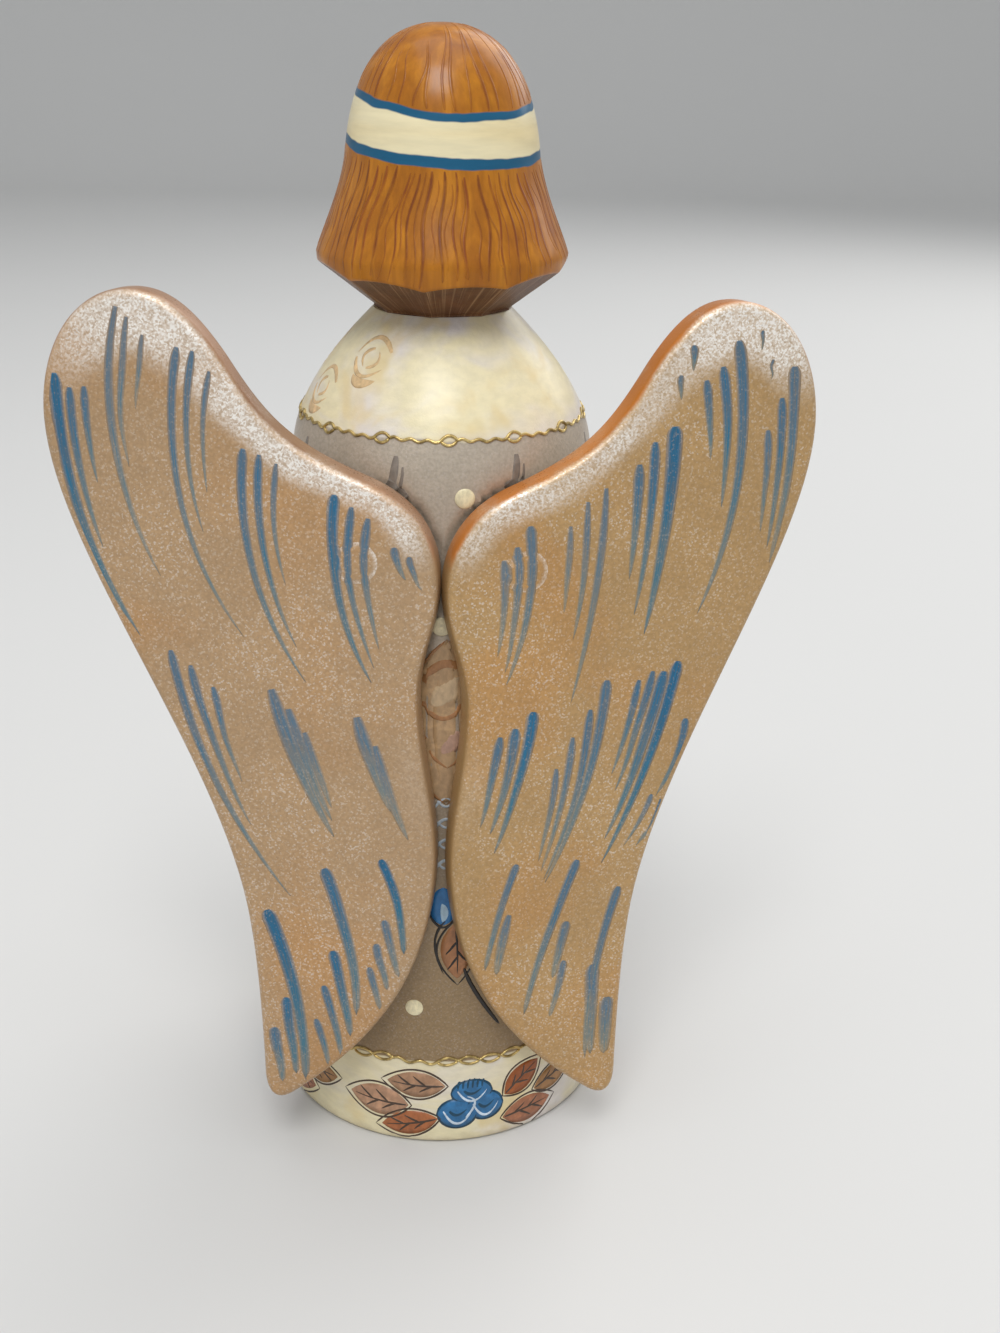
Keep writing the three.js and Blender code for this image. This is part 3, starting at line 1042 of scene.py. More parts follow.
@shared
def paint_drops(name):
    """Geometry Nodes that set a flat drop of paint on each point, square to what carries it."""
    inputs = {"Points": "Geometry", "Carrier": "Object", "Finish": "Material"}
    tree, given, made = new_tree(name, "GeometryNodeTree", inputs, {"Drops": "Geometry"})
    surface = Surface(tree, given["Carrier"])
    seat = surface.nearest(surface.position, surface.position)
    outward = surface.nearest(surface.normal, surface.position)
    upright = wire(tree, "FunctionNodeAlignRotationToVector", {"Vector": outward}, axis="Z")
    size = carried(tree, "size")
    shape = {"Rotation": upright, "Scale": joined(size, size, carried(tree, "height"))}
    drop = wire(tree, "GeometryNodeMeshUVSphere", {"Segments": 28, "Rings": 14, "Radius": 1}, "Mesh")
    values = {"Points": moved(given["Points"], seat), "Instance": drop, **shape}
    finished(wire(tree, "GeometryNodeInstanceOnPoints", values), given, made)
    return tree


def drops(name, spots, carrier, finish):
    """Drops of paint, each with its place, radius, height and colour."""
    places, sizes, heights, shades = zip(*spots)
    piece = mesh_object(name, places, [])
    mark(piece, "size", sizes)
    mark(piece, "height", heights)
    mark(piece, "colour", opaque(shades), "FLOAT_COLOR")
    grow(piece, paint_drops(), carrier=carrier, finish=finish)
    piece.data.shade_smooth()
    return piece


@shared
def gold_cord(name):
    """Geometry Nodes that draw a raised line round the dress, opened into eye-shaped loops."""
    sizes = dict.fromkeys(("Height", "Radius", "Shift", "Loop Height", "Wave", "Width"), "Float")
    counts = dict.fromkeys(("Slots", "Period", "Run"), "Int")
    inputs = {"Points": "Geometry", "Carrier": "Object", **sizes, **counts, "Finish": "Material"}
    tree, given, made = new_tree(name, "GeometryNodeTree", inputs, {"Cord": "Geometry"})
    surface = Surface(tree, given["Carrier"])
    circle_node = "GeometryNodeCurvePrimitiveCircle"
    ring = wire(tree, circle_node, {"Resolution": given["Slots"] * 14, "Radius": given["Radius"]})
    x, y, z = parts(surface.position)
    share = (x * -1).maths("ARCTAN2", y) / (2 * math.pi)
    place = (share + 1) * given["Slots"] + given["Shift"]
    slot = place.maths("FLOOR")
    part = place - slot
    loop = slot.maths("FLOORED_MODULO", given["Period"]).maths("LESS_THAN", given["Run"])
    eye = part * (1 - part) * 4 * loop
    ripple = (part * (2 * math.pi)).maths("SINE") * (1 - loop) * given["Wave"]
    drift = (share * (30 * math.pi)).maths("SINE") * (given["Wave"] * 0.5)
    level = given["Height"] + (drift + ripple)
    half = eye * given["Loop Height"] * 0.5
    lines = add(tree, "GeometryNodeJoinGeometry")
    for sign in (1, -1):
        sink = ramp(eye, 0.02, 0.3, -1.4, 0.15) if sign < 0 else 0.15
        laid = surface.over(joined(x, y, half * sign + level), given["Width"] * sink)
        feed(lines.inputs[0], moved(ring, laid))
    brush = wire(tree, circle_node, {"Resolution": 8, "Radius": given["Width"] * 0.5})
    values = {"Curve": Wire(lines.outputs[0]), "Profile Curve": brush}
    finished(wire(tree, "GeometryNodeCurveToMesh", values), given, made)
    return tree


# Dress
def dress_profile(dress):
    """Radius and height down the outside of the dress, from the neck's seat to the foot."""
    foot = (dress.base_radius - dress.base_round, 0)
    edge = (dress.base_radius, dress.base_round)
    skirt = (dress.skirt_radius, dress.skirt_height)
    chest = (dress.chest_radius, dress.chest_height)
    neck = (dress.neck_seat_radius, dress.height)
    up = [foot, *eased(foot, edge, FOOT, 6), *eased(edge, skirt, FLARE, 40)]
    up += [*straight(skirt, chest, 76), *eased(chest, neck, SHOULDER, 40)]
    return up[::-1]


def inside(outline, x, y):
    """Whether a point lies inside a closed outline."""
    ends = np.roll(outline, -1, axis=0)
    spans = (outline[:, 1] > y) != (ends[:, 1] > y)
    (ax, ay), (bx, by) = outline[spans].T, ends[spans].T
    return np.count_nonzero(x < ax + (y - ay) * (bx - ax) / (by - ay)) % 2 == 1


class ANGEL_OT_turn_dress(Operator):
    """Turn the dress, plane the wings' seats into it and drill it for the dowels"""

    bl_idname = "angel.turn_dress"
    bl_label = "Turn dress"

    def execute(self, context):
        dress = context.scene.angel_dress
        wings = context.scene.angel_wings
        floor = dress.height - dress.neck_hole_depth
        hole = [(0, floor), (dress.neck_hole_radius, floor), (dress.neck_hole_radius, dress.height)]
        profile = [*hole, *dress_profile(dress), (dress.base_radius * 0.5, 0), (0, 0)]
        piece = turned("dress_turned", profile, DRESS_COLUMNS)
        seat = -wings.thickness / 2 - wings.glue_gap
        for name, side, place in wing_pair(context.scene):
            outline = wing_outline(wings, side)
            back = place.inverted()
            for vertex in piece.data.vertices:
                local = back @ vertex.co
                if local.z > seat and inside(outline, local.x, local.y):
                    local.z = seat
                    vertex.co = place @ local
            drill = rod("drill", wings.dowel_radius + 0.15 * MM, seat - wings.dowel_depth, wings.thickness)
            drill.data.transform(place @ Matrix.Translation((side * wings.dowel_offset, 0, 0)))
            carve(piece, drill, "DIFFERENCE")
        coat(piece, dress_finish(dress, context.scene.angel_paint))
        crisp(piece, 40)
        settle(piece, "dress_paint", "dress_body")
        return {"FINISHED"}


# Head
def knife_planes(head):
    """Outward normal and offset of each knife cut, in the head's own frame."""
    slope = math.tan(head.under_angle)
    lean = Matrix.Rotation(-head.knife_lean, 3, "X")
    apex = lean @ Vector((0, 0, -head.under_radius * slope)) - Vector((0, head.knife_shift, 0))
    planes = []
    for number in range(head.knife_facets):
        turn = (number + 0.5) * 2 * math.pi / head.knife_facets - head.knife_turn
        normal = lean @ Vector((math.sin(turn), math.cos(turn), -1 / slope)).normalized()
        planes.append((normal, normal.dot(apex)))
    return planes


def knife_radius(planes, across, along, height):
    """How far the knife cuts leave the wood in one direction, at a height."""
    reaches = []
    for normal, offset in planes:
        facing = normal.x * across + normal.y * along
        if facing > 1e-6:
            reaches.append((offset - normal.z * height) / facing)
    return min(reaches)


class Bob:
    """The turned bob: its profile, and the rim that the knife cuts leave."""

    def __init__(self, head):
        low = (head.rim_radius - head.rim_undercut, 0)
        rim = (head.rim_radius, head.rim_height)
        temple = (head.temple_radius, head.temple_height)
        up = [low, *straight(low, rim, 40), *eased(rim, temple, BOB, 60)]
        profile = np.array(up + eased(temple, (0, head.height), CROWN, 80))
        steps = np.hypot(*np.diff(profile, axis=0).T)
        self.radius, self.level = profile.T
        self.way = np.concatenate(([0], np.cumsum(steps)))
        self.planes = knife_planes(head)
        self.seat = head.seat

    def at(self, way):
        """Radius and height at a way along the profile."""
        return float(np.interp(way, self.way, self.radius)), float(np.interp(way, self.way, self.level))

    def rim(self, turn):
        """Way along the profile at which the knife cuts end, in a direction from the back towards +X."""
        low, high = 0, self.way[-1]
        for halving in range(26):
            way = (low + high) / 2
            radius, level = self.at(way)
            cut = radius > knife_radius(self.planes, math.sin(turn), math.cos(turn), level)
            low, high = (way, high) if cut else (low, way)
        return high

    def spot(self, turn, way):
        """Place on the hair in the row frame."""
        radius, level = self.at(way)
        return Vector((radius * math.sin(turn), radius * math.cos(turn), self.seat + level))

    def way_at(self, level):
        """Way along the profile to a height."""
        return float(np.interp(level, self.level, self.way))


def shape_face(face, head):
    """Gives the egg of the face a chin, eye hollows, cheeks and a mouth."""
    centre = Vector((0, -head.face_forward, head.face_height))
    sizes = Vector((head.face_width, head.face_depth, head.face_length)) / 2

    def hump(x, z, wide, high):
        return math.exp(-((x / wide) ** 2) - (z / high) ** 2)

    for vertex in face.data.vertices:
        x, y, z = ((c - m) / s for c, m, s in zip(vertex.co, centre, sizes))
        forward = -0.5 * hump(abs(x) - 0.37, z + 0.06, 0.2, 0.13)
        forward += 0.3 * hump(abs(x) - 0.46, z + 0.4, 0.26, 0.2)
        forward += 0.25 * hump(x, z + 0.55, 0.24, 0.09)
        forward += 0.45 * hump(x, z + 0.84, 0.3, 0.14)
        vertex.co.y -= forward * MM * max(0, -y)
        vertex.co.x *= 1 - 0.16 * max(0, -z) ** 2


def face_window(head):
    """Opening between the locks, from the parting down through the underside."""
    half = head.window_width / 2
    low = -0.6 * MM
    arch = [(half, low), (half, head.window_spring)]
    arch += eased(arch[-1], (0, head.window_height), LOCK, 16)
    arch += eased(arch[-1], (-half, head.window_spring), PARTING, 16)
    arch += [(-half, low)]
    count = len(arch)
    points = [(x, y, z) for y in (-head.window_depth, -2 * head.rim_radius) for x, z in arch]
    faces = [tuple(range(count))[::-1], tuple(range(count, 2 * count))]
    faces += [(i, (i + 1) % count, count + (i + 1) % count, count + i) for i in range(count)]
    window = mesh_object("window", points, faces)
    shell = bmesh.new()
    shell.from_mesh(window.data)
    bmesh.ops.recalc_face_normals(shell, faces=shell.faces)
    shell.to_mesh(window.data)
    shell.free()
    return window


class ANGEL_OT_carve_head(Operator):
    """Turn the bob of the hair, cut its underside with the knife and open it to the face and neck"""

    bl_idname = "angel.carve_head"
    bl_label = "Carve head"

    def execute(self, context):
        head = context.scene.angel_head
        colours = context.scene.angel_paint
        bob = Bob(head)
        crown = bob.way[-1]
        columns = []
        for a in circle(HAIR_COLUMNS):
            across, along = math.cos(a), math.sin(a)
            rim = bob.rim(math.pi / 2 - a)
            fall = crown - (rim + head.rim_round)
            rows = [bob.at(crown - fall * row / HAIR_ROWS) for row in range(1, HAIR_ROWS + 1)]
            corner = bob.at(rim)
            level = corner[1] - head.rim_round * math.sin(head.under_angle)
            below = (knife_radius(bob.planes, across, along, level), level)
            rows += bezier(rows[-1], corner, corner, below, RIM_ROWS)
            for row in range(1, UNDER_ROWS + 1):
                level = below[1] * (1 - row / UNDER_ROWS)
                rows.append((knife_radius(bob.planes, across, along, level), level))
            rows.append((rows[-1][0], -head.glue))
            columns.append([(radius * across, radius * along, level) for radius, level in rows])
        piece = closed_skin("head_carved", (0, 0, head.height), columns, (0, 0, -head.glue))
        coat(piece, hair_finish(head, colours), underside_finish(colours), skin_finish(head, colours))
        for polygon in piece.data.polygons:
            row = polygon.index % (len(columns[0]) + 1)
            polygon.material_index = int(row > HAIR_ROWS + RIM_ROWS / 2)
        carve(piece, face_window(head), "DIFFERENCE")

        # Face, nose and neck
        middle = (0, -head.face_forward, head.face_height)
        face = ball("face", (head.face_width, head.face_depth, head.face_length), middle)
        shape_face(face, head)
        tip = (0, head.nose_sink - head.face_forward - head.face_depth / 2, head.nose_height)
        nose = ball("nose", (head.nose_width, head.nose_depth, head.nose_length), tip)
        neck = rod("neck", head.neck_radius, 0.02 * MM - head.glue, head.face_height, 72)
        for tool in (neck, face, nose):
            for polygon in tool.data.polygons:
                polygon.material_index = 2
            carve(piece, tool, "UNION")
        hole_radius = context.scene.angel_dress.neck_hole_radius
        carve(piece, rod("hole", hole_radius, -MM, head.hole_depth), "DIFFERENCE")
        piece.data.transform(Matrix.Translation((0, 0, head.seat)))
        crisp(piece, 32)
        settle(piece, "hair_paint", "head")
        return {"FINISHED"}


class ANGEL_OT_paint_hair(Operator):
    """Paint the strands of the hair below and above the headband"""

    bl_idname = "angel.paint_hair"
    bl_label = "Paint hair"

    def execute(self, context):
        head = context.scene.angel_head
        colours = context.scene.angel_paint
        bob = Bob(head)
        draw = random.Random(7)
        strands = []

        def band_edge(turn, level, dip):
            tilt = BAND_LEAN * math.sin(turn) - dip * math.cos(turn)
            return bob.way_at(level + tilt * head.temple_radius)

        def strand(bends, ways, width, colour, **form):
            path = [bob.spot(turn, way) for turn, way in zip(bends, ways)]
            form["layer"] = 0.7 + 0.006 * len(strands)
            strands.append(Stroke(*path, width * MM, colour, **form))

        for number in range(head.strands * 2):
            main = number % 2 == 0
            turn = math.pi * (number + draw.uniform(-0.3, 0.3)) / head.strands
            drift = 0.05 * math.sin(2 * turn + 0.6) + draw.uniform(-0.02, 0.02)
            width = draw.uniform(0.45, 0.75) if main else draw.uniform(0.25, 0.42)
            wave = draw.uniform(0.3, 0.5) * MM
            waves = draw.uniform(1.05, 1.4)
            phase = 1.7 * math.sin(2 * turn) + 0.9 * math.sin(5 * turn + 1) + draw.uniform(-0.5, 0.5)
            late = draw.uniform(0, 0.05 if main else 0.35)
            early = draw.uniform(-0.02, 0.06 if main else 0.3)
            colour = scaled_colour(colours.chestnut, draw.uniform(0.8, 1.25))
            reach = abs(math.sin(turn)) * head.rim_radius
            if math.cos(turn) < 0 and reach < head.window_width / 2 + 1.6 * MM:
                continue
            low = bob.rim(turn) + head.rim_round
            high = band_edge(turn, head.band_low - 0.3 * MM, BAND_DIP)
            start = high - (high - low) * late
            end = low + (high - low) * early
            form = {"head": 0.15, "tail": 0.12, "wave": wave, "turns": waves, "phase": phase}
            bends = (turn, turn + drift, turn + drift * 1.6)
            strand(bends, (start, (start + end) / 2, end), width, colour, cover=0.9 if main else 0.6, **form)
        for number in range(head.crown_strands):
            turn = 2 * math.pi * (number + draw.uniform(-0.3, 0.3)) / head.crown_strands
            low = band_edge(turn, head.band_high + 0.5 * MM, BAND_CROWN_DIP)
            end = low + (bob.way[-1] - low) * draw.uniform(0.45, 0.9)
            drift = draw.uniform(-0.12, 0.12)
            width = draw.uniform(0.4, 0.65)
            phase = 2 * math.sin(2 * turn) + draw.uniform(-0.6, 0.6)
            form = {"head": 0.12, "tail": 0.5, "wave": 0.3 * MM, "turns": 1.1, "phase": phase}
            bends = (turn, turn + drift, turn + drift)
            ways = (low, (low + end) / 2, end)
            strand(bends, ways, width, colours.chestnut, cover=draw.uniform(0.4, 0.75), **form)
        carrier = bpy.data.objects["head_carved"]
        depth = colours.paint_depth * 0.8
        piece = brushwork("hair_strands", strands, carrier, strand_finish(colours), depth, STRAND_STEPS)
        settle(piece, "hair_paint")
        return {"FINISHED"}


class ANGEL_OT_paint_face(Operator):
    """Paint a plain doll's face: brows, eyes and lips"""

    bl_idname = "angel.paint_face"
    bl_label = "Paint face"

    def execute(self, context):
        head = context.scene.angel_head
        colours = context.scene.angel_paint
        front = -head.face_forward - head.face_depth / 2
        white, brown, lip = linear(0xF0E8DA), linear(0x7A5230), linear(0xBC5C52)
        strokes, spots = [], []

        def spot(x, z):
            return Vector((x * MM, front + 0.06 * x * x * MM, head.seat + z * MM))

        def line(side, points, width, colour, petal, layer=1):
            start, middle, end = (spot(side * x, z) for x, z in points)
            form = {"petal": petal, "layer": layer}
            strokes.append(Stroke(start, middle * 2 - (start + end) / 2, end, width * MM, colour, **form))

        for side in (-1, 1):
            line(side, ((2.1, 15.3), (3.5, 15.45), (4.9, 15.3)), 1.5, white, 0.6)  # eye
            line(side, ((1.9, 15.2), (3.5, 16.15), (5.2, 15.2)), 0.36, colours.ink, 0.35, 4)  # lid
            line(side, ((2.3, 15.1), (3.5, 14.75), (4.8, 15.1)), 0.16, brown, 0.5, 2)  # lower lid
            line(side, ((1.7, 17.1), (3.1, 17.6), (4.6, 17)), 0.5, brown, 0.5, 2)  # brow
            line(side, ((0, 9.68), (1, 10), (2.1, 9.88)), 0.55, lip, 0.6)
            pupil = spot(side * 3.5, 15.42)
            spots += [
                (pupil, 0.64 * MM, 0.07 * MM, linear(0x3B6E8F)),
                (pupil, 0.34 * MM, 0.1 * MM, linear(0x15110F)),
                # A white dot in each eye: a painted catchlight
                (spot(side * 3.5 + 0.2, 15.65), 0.14 * MM, 0.13 * MM, white),
            ]
        line(1, ((-1.7, 9.45), (0, 9.0), (1.7, 9.45)), 0.8, scaled_colour(lip, 1.15), 0.7)
        line(1, ((-2.2, 9.95), (0, 9.4), (2.2, 9.95)), 0.18, linear(0x7E3A33), 0.4, 3)
        carrier = bpy.data.objects["head_carved"]
        piece = brushwork("face_strokes", strokes, carrier, ornament_finish(), colours.paint_depth)
        settle(piece, "hair_paint")
        pupils = drops("face_pupils", spots, carrier, ornament_finish())
        settle(pupils, "hair_paint")
        return {"FINISHED"}


# Wings
def wing_place(scene, side, sweep, drop):
    """Where a wing stands: X across, Y up and Z out of the back, from the middle of its thickness."""
    dress = scene.angel_dress
    wings = scene.angel_wings
    share = (wings.height - dress.skirt_height) / (dress.chest_height - dress.skirt_height)
    taper = dress.skirt_radius + (dress.chest_radius - dress.skirt_radius) * share
    middle = taper - wings.seat_depth + wings.glue_gap + wings.thickness / 2
    turn = Matrix.Rotation(math.pi + side * sweep, 4, "Z")
    turn = turn @ Matrix.Rotation(math.pi / 2 - wings.lean, 4, "X")
    return Matrix.Translation((0, middle / math.cos(sweep), wings.height - drop)) @ turn


def wing_pair(scene):
    """Name, side and place of each wing. The left wing, seen from behind, is on +X."""
    wings = scene.angel_wings
    return (
        ("left", -1, wing_place(scene, -1, wings.left_sweep, 0)),
        ("right", 1, wing_place(scene, 1, wings.right_sweep, wings.right_drop)),
    )


def wing_outline(wings, side, spacing=0.7 * MM):
    """Evenly spaced points round a wing, counterclockwise seen from behind."""

    def point(across, up, tips=0):
        reach = wings.split + across / 100 * wings.span - tips * wings.tip_width
        return side * reach, up / 100 * (wings.rise if up > 0 else wings.fall)

    points = [point(*WING_START)]
    for first, second, end in WING_CURVES:
        points += bezier(points[-1], point(*first), point(*second), point(*end), 30)
    points = np.array(points if side < 0 else points[::-1])
    way = np.concatenate(([0], np.cumsum(np.hypot(*np.diff(points, axis=0).T))))
    stops = np.linspace(0, way[-1], int(way[-1] / spacing), endpoint=False)
    return np.stack([np.interp(stops, way, points[:, axis]) for axis in (0, 1)], axis=1)


def edge_rings(wings):
    """Inset, height and turn of each ring of the rounded edge, from the outer face to the inner one."""
    half = wings.thickness / 2
    rings = []
    for step in range(EDGE_STEPS + 1):
        a = math.pi / 2 * step / EDGE_STEPS
        drop = wings.edge_round * (1 - math.cos(a))
        rings.append((wings.edge_round * (1 - math.sin(a)), half - drop, math.sin(a)))
    return rings + [(inset, -height, turn) for inset, height, turn in rings[::-1]]


def face_grid(wings, outline, centre, hole_radius):
    """Points inside a wing's flat face, clear of its edge and of the dowel's hole."""
    low, high = outline.min(axis=0), outline.max(axis=0)
    grid = []
    for row, y in enumerate(np.arange(low[1], high[1], 0.95 * MM)):
        for x in np.arange(low[0] + (row % 2) * 0.5 * MM, high[0], 1.05 * MM):
            off_edge = np.hypot(*(outline - (x, y)).T).min() > wings.edge_round + 0.5 * MM
            off_hole = math.dist((x, y), centre) > hole_radius + 0.4 * MM
            if off_edge and off_hole and inside(outline, x, y):
                grid.append((x, y))
    return grid


def saw_wing(name, wings, side):
    """A board with rounded edges, sanded a little hollow towards them and drilled, in its own frame."""
    outline = wing_outline(wings, side)
    ahead = np.roll(outline, -1, axis=0) - np.roll(outline, 1, axis=0)
    inward = np.stack([-ahead[:, 1], ahead[:, 0]], axis=1) / np.hypot(*ahead.T)[:, None]
    upward = [swell(-way[1], 0.05, 0.6) for way in inward]
    count = len(outline)
    points, faces, marks = [], [], []

    # Rounded edge
    rings = edge_rings(wings)
    for inset, height, turn in rings:
        sanding = wings.pillow * math.copysign(1 - turn, height)
        for spot, rise in zip(outline + inward * inset, upward):
            points.append((*spot, height - sanding))
            marks.append((inset, rise, turn))
    for here in range(0, (len(rings) - 1) * count, count):
        for i in range(count):
            after = (i + 1) % count
            faces.append((here + i, here + count + i, here + count + after, here + after))

    # Flat faces, filled between the edge and the dowel's hole
    centre = (side * wings.dowel_offset, 0)
    hole_radius = wings.dowel_radius + 0.01 * MM
    hole = [(centre[0] + hole_radius * math.cos(a), hole_radius * math.sin(a)) for a in circle(HOLE_SIDES)]
    border = outline + inward * wings.edge_round
    flat = [Vector(spot) for spot in (*border, *hole, *face_grid(wings, outline, centre, hole_radius))]
    edges = [(i, (i + 1) % count) for i in range(count)]
    edges += [(count + i, count + (i + 1) % HOLE_SIDES) for i in range(HOLE_SIDES)]
    spots, _, triangles, origins, _, _ = delaunay_2d_cdt(flat, edges, [], 1, 1e-7)
    sources = [min(origin) for origin in origins]
    rims = []
    for sign, ring in ((1, 0), (-1, (len(rings) - 1) * count)):
        numbers = []
        for spot, source in zip(spots, sources):
            if source < count:
                numbers.append(ring + source)
                continue
            away = np.hypot(*(outline - spot).T)
            nearest = int(away.argmin())
            sanding = wings.pillow * (1 - swell(away[nearest], wings.edge_round, 8 * MM))
            ripple = 0.05 * MM * noise.noise(Vector((*spot, 0.01 * sign)) * 90)
            numbers.append(len(points))
            points.append((*spot, sign * (wings.thickness / 2 - sanding + ripple)))
            marks.append((away[nearest], upward[nearest], 0))
        for triangle in triangles:
            if not all(count <= sources[i] < count + HOLE_SIDES for i in triangle):
                faces.append([numbers[i] for i in triangle][::sign])
        rims.append([numbers[sources.index(count + i)] for i in range(HOLE_SIDES)])
    top, bottom = rims
    for i in range(HOLE_SIDES):
        after = (i + 1) % HOLE_SIDES
        faces.append((top[i], top[after], bottom[after], bottom[i]))
    piece = mesh_object(name, points, faces)
    for label, values in zip(("edge_distance", "upper", "side"), zip(*marks)):
        mark(piece, label, values)
    return piece


class ANGEL_OT_saw_wings(Operator):
    """Saw both wings, round their edges, drill them and set their dowels"""

    bl_idname = "angel.saw_wings"
    bl_label = "Saw wings"

    def execute(self, context):
        wings = context.scene.angel_wings
        colours = context.scene.angel_paint
        wood = wood_finish(colours)
        coat(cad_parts["neck_dowel"], wood)
        half = wings.thickness / 2
        top = half + wings.dowel_proud
        foot = -half - wings.dowel_depth
        radius = wings.dowel_radius
        end = [(0, top), *straight((0, top), (radius * 0.6, top), 4)]
        end += eased(end[-1], (radius, half), PLUG, 12)
        end += [(radius, -half), (radius, foot), (0, foot)]
        for name, side, place in wing_pair(context.scene):
            ground, edge = getattr(colours, f"{name}_wing"), getattr(colours, f"{name}_edge")
            finish = wing_finish(f"{name}_wing_paint", ground, edge, colours)
            piece = saw_wing(f"{name}_wing_sawn", wings, side)
            piece.data.transform(place)
            coat(piece, finish)
            crisp(piece, 45)
            settle(piece, "wing_paint", f"{name}_wing")
            plug = turned(f"{name}_wing_plug", end, HOLE_SIDES)
            insets = [radius - math.hypot(vertex.co.x, vertex.co.y) for vertex in plug.data.vertices]
            # These marks put the bright band in a ring at the plug's rim: painted glints along its edge
            mark(plug, "edge_distance", [1.9 * MM + 4 * inset for inset in insets])
            mark(plug, "upper", [0.7] * len(insets))
            coat(plug, finish, wood)
            for polygon in plug.data.polygons:
                polygon.material_index = int(polygon.center.z < half - 1.2 * MM)
            plug.data.transform(place @ Matrix.Translation((side * wings.dowel_offset, 0, 0)))
            crisp(plug, 45)
            settle(plug, "bare_wood", f"{name}_wing_dowel")
        return {"FINISHED"}


def painted_side(name, place):
    """The outer faces of a wing and of its plug, which carry the feather strokes."""
    shell = bmesh.new()
    for part in ("sawn", "plug"):
        shell.from_mesh(bpy.data.objects[f"{name}_wing_{part}"].data)
    outward = place.to_3x3() @ Vector((0, 0, 1))
    hidden = [face for face in shell.faces if face.normal.dot(outward) < 0.6]
    bmesh.ops.delete(shell, geom=hidden, context="FACES")
    ground = mesh_object("ground", [], [])
    shell.to_mesh(ground.data)
    shell.free()
    return ground


class ANGEL_OT_brush_feathers(Operator):
    """Brush the blue feather strokes on both wings"""

    bl_idname = "angel.brush_feathers"
    bl_label = "Brush feathers"

    def execute(self, context):
        wings = context.scene.angel_wings
        colours = context.scene.angel_paint
        draw = random.Random(11)
        tufts = {"left": LEFT_TUFTS, "right": RIGHT_TUFTS}
        for name, side, place in wing_pair(context.scene):
            strokes = []
            for tuft in tufts[name]:
                across, up, reach, fall, bow, width, count, step, drop, share, strength = tuft
                span = math.hypot(reach, fall)
                soft = 0.45 if strength <= 0.65 else 0.05
                end = np.array((-reach, -fall))
                handle = end / 2 + 2 * bow * np.array((fall, -reach)) / span
                for number in range(count):
                    part = share ** number * draw.uniform(0.9, 1.06 if number else 1)
                    loose = (draw.uniform(-0.3, 0.3), draw.uniform(-0.9, 0.6))
                    first = np.array((across - step * number, up - drop * number)) + loose
                    last = first + 2 * part * (1 - part) * handle + part * part * end
                    path = []
                    for x, y in (first, first + part * handle, last):
                        path.append(place @ Vector((side * x * MM, y * MM, wings.thickness / 2)))
                    wide = width * 0.88 ** number * draw.uniform(0.85, 1.1)
                    form = {
                        "head": max(soft + 0.06 * number, 0.6 * wide / (span * part)),
                        "tail": 0.25 if last[1] < -60 else 0.5,
                        "wave": draw.uniform(0, 0.14) * MM,
                        "turns": draw.uniform(0.6, 1.4),
                        "phase": draw.uniform(0, 6.3),
                        "cover": strength * draw.uniform(0.8, 1) * 0.93 ** number,
                        "layer": 1 + 0.012 * len(strokes),
                    }
                    strokes.append(Stroke(*path, wide * MM, colours.blue, **form))
            ground = painted_side(name, place)
            finish = feather_finish(f"{name}_feather_paint", getattr(colours, f"{name}_wing"), colours)
            piece = brushwork(f"{name}_feathers", strokes, ground, finish, colours.paint_depth)
            bpy.data.objects.remove(ground)
            settle(piece, "wing_paint")
        return {"FINISHED"}


# Ornament of the dress
def on_dress(dress, middle=0.0):
    """Gives the place on the dress of an arc to the right of a middle line and a height, in millimetres."""
    profile = np.array(dress_profile(dress))[::-1]

    def place(arc, height):
        radius = np.interp(height * MM, profile[:, 1], profile[:, 0])
        turn = middle + arc * MM / radius
        return Vector((-radius * math.sin(turn), radius * math.cos(turn), height * MM))

    return place


